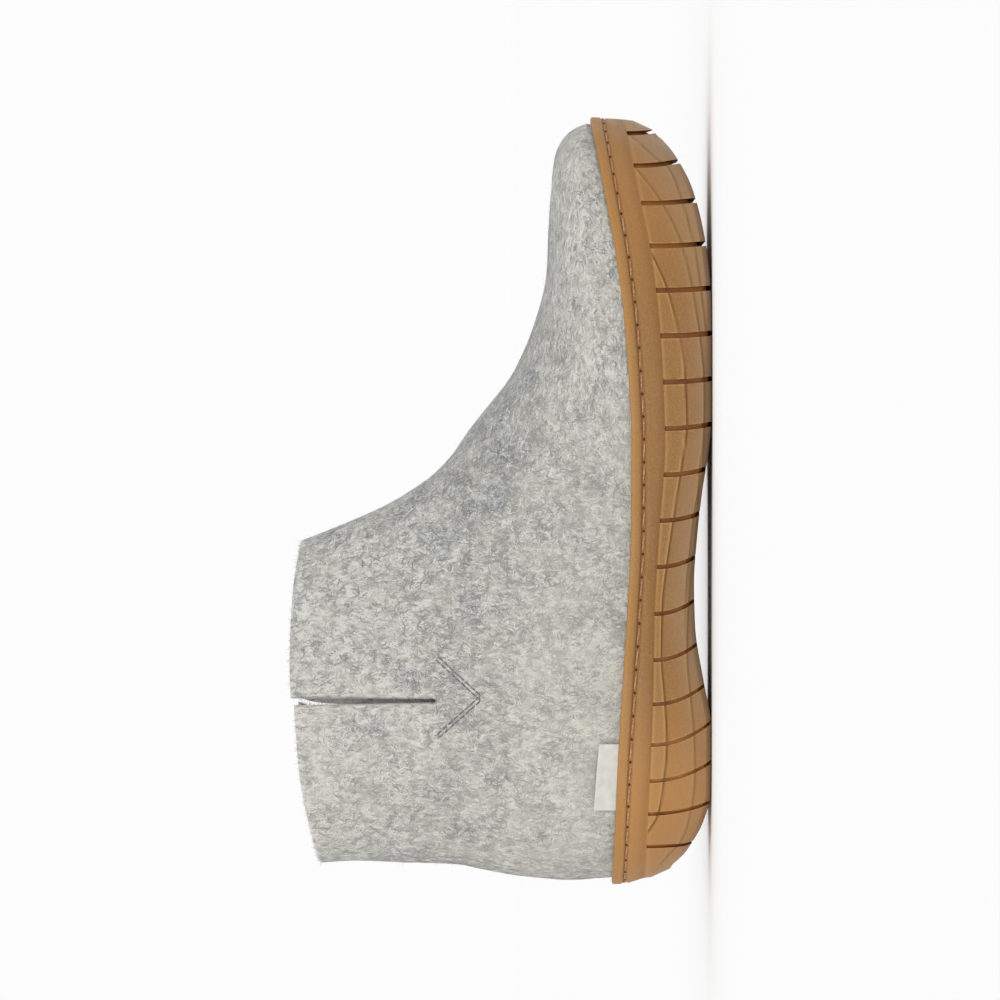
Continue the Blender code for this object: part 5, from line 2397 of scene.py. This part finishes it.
@dataclass
class Studio:
    """Pale floor, soft light and the camera, in metres."""

    floor: FloorFinish
    suns: tuple[Sun, ...] = (
        Sun("key", (0.0, -0.9, 0.4), 0.95, 50.0),
        Sun("front", (-0.3, -1.0, 0.1), 0.60, 40.0),
        Sun("top", (-0.15, 0.25, 1.0), 0.6, 80.0),
    )
    floor_reach: float = 60.0
    ambient: float = 0.78
    backdrop: float = 0.98
    sensor_width: float = 36.0
    camera_distance: float = 3.6
    camera_centre: Span = (0.0, 0.0764)
    view_width: float = 0.3646

    def build(self) -> None:
        """Builds the stage, the lights and the camera."""
        scene = bpy.context.scene
        scene.view_settings.view_transform = "Standard"
        self.lay_floor()
        scene.world = self.make_world()
        for sun in self.suns:
            sun.build()
        self.add_camera(scene)

    def lay_floor(self) -> None:
        """Lays the floor."""
        mesh = bpy.data.meshes.new("floor")
        reach = self.floor_reach
        corners = [(-reach, -reach, 0), (reach, -reach, 0), (reach, reach, 0), (-reach, reach, 0)]
        mesh.from_pydata(corners, [], [(0, 1, 2, 3)])
        mesh.materials.append(self.floor.material())
        floor = bpy.data.objects.new("floor", mesh)
        bpy.context.scene.collection.objects.link(floor)

    def make_world(self) -> bpy.types.World:
        """Makes even light from all sides, with a paler backdrop behind the shoe.

        Returns:
            The world.
        """
        world = bpy.data.worlds.new("studio")
        world.use_nodes = True
        nodes, links = world.node_tree.nodes, world.node_tree.links
        light, wall = nodes["Background"], nodes.new("ShaderNodeBackground")
        for background, strength in ((light, self.ambient), (wall, self.backdrop)):
            background.inputs["Color"].default_value = (1.0, 1.0, 1.0, 1.0)
            background.inputs["Strength"].default_value = strength
        path, chosen = nodes.new("ShaderNodeLightPath"), nodes.new("ShaderNodeMixShader")
        sources = (path.outputs["Is Camera Ray"], light.outputs[0], wall.outputs[0])
        for source, target in zip(sources, chosen.inputs):
            links.new(source, target)
        links.new(chosen.outputs[0], nodes["World Output"].inputs["Surface"])
        return world

    def add_camera(self, scene: bpy.types.Scene) -> None:
        """Adds the camera, which looks at the outer side with the toe up in the picture.

        Args:
            scene: the scene that it is the camera of.
        """
        data = bpy.data.cameras.new("camera")
        data.sensor_width = self.sensor_width
        data.lens = data.sensor_width * self.camera_distance / self.view_width
        camera = bpy.data.objects.new("camera", data)
        x, z = self.camera_centre
        right, up, back = (0, 0, -1), (1, 0, 0), (0, -1, 0)
        turned = Matrix((right, up, back)).transposed().to_4x4()
        camera.matrix_world = Matrix.Translation((x, -self.camera_distance, z)) @ turned
        scene.collection.objects.link(camera)
        scene.camera = camera


def fibre_coats(upper: FeltUpper, fibre: FibreFinish) -> list[FibreCoat]:
    """Chooses the coats of wool fibres.

    Args:
        upper: the felt that they lie on.
        fibre: their finish.

    Returns:
        Flecks, dark strokes and standing fuzz of the outer face, then flecks and fuzz of the lining.
    """
    outer, lining = (upper, upper.skin, fibre), (upper, upper.lining, fibre)
    flecks = {"length": (2.0, 4.6), "width": (0.25, 0.48), "lift": (0.02, 0.10), "tint": 0.54}
    strokes = {"length": (1.6, 4.2), "width": (0.26, 0.46), "lift": (0.10, 0.16), "tint": 0.20}
    fuzz = {"length": (1.5, 4.0), "width": (0.04, 0.07), "lift": (0.05, 0.2), "stand": 0.5, "curl": 0.7}
    inner_flecks = {"length": (1.2, 4.5), "width": (0.25, 0.6), "lift": (0.03, 0.14), "shade": 0.28}
    inner_fuzz = {"length": (2.0, 5.0), "width": (0.04, 0.08), "lift": (0.1, 0.2), "stand": 0.7, "curl": 0.9}
    return [
        FibreCoat("felt_flecks", *outer, count=45000, seed=21, **flecks),
        FibreCoat("felt_strokes", *outer, count=12000, seed=22, **strokes),
        FibreCoat("felt_fuzz", *outer, count=3500, seed=23, steps=4, **fuzz),
        FibreCoat("lining_flecks", *lining, count=18000, seed=24, **inner_flecks),
        FibreCoat("lining_fuzz", *lining, count=4000, seed=25, steps=5, shade=0.2, **inner_fuzz),
    ]


def report(*pieces: Piece) -> None:
    """Writes the name and the number of faces of each piece to the log."""
    for piece in pieces:
        LOG.info("%s: %d faces", piece.name, len(piece.data.polygons))


def main() -> None:
    """Builds the shoe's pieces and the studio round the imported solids."""
    logging.basicConfig(level=logging.INFO, format="%(name)s %(message)s")
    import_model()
    last = Last()
    upper = FeltUpper(last, WoolShades(last), FeltFinish("felt"))
    report(upper.build())
    fibre = FibreFinish("wool_fibre")
    for coat in fibre_coats(upper, fibre):
        report(coat.build())
    report(EdgeHairs(upper, fibre).build())
    # The grooves' floor is brown, with painted light towards the heel and the toe
    brown = dict.fromkeys(("tan", "rosy", "lip", "foot", "edge"), GROOVE_BROWN)
    groove = RubberFinish("groove_rubber", ends=GROOVE_END_LIGHT, **brown)
    report(CupSole(last, RubberFinish("rubber"), groove).build())
    thread = ThreadFinish("seam_thread", *SEAM_COLOURS)
    hole = ThreadFinish("seam_hole", *HOLE_SHADE_COLOURS)
    report(*SoleSeam(last, thread, hole).build())
    report(SlitStitches(upper, ThreadFinish("slit_thread", *SLIT_COLOURS)).build())
    report(Insole(last, FeltFinish("insole_felt")).build())
    report(SideTab(upper, TapeFinish("tape")).build())
    Studio(FloorFinish("studio_floor")).build()


if __name__ == "__main__":
    main()
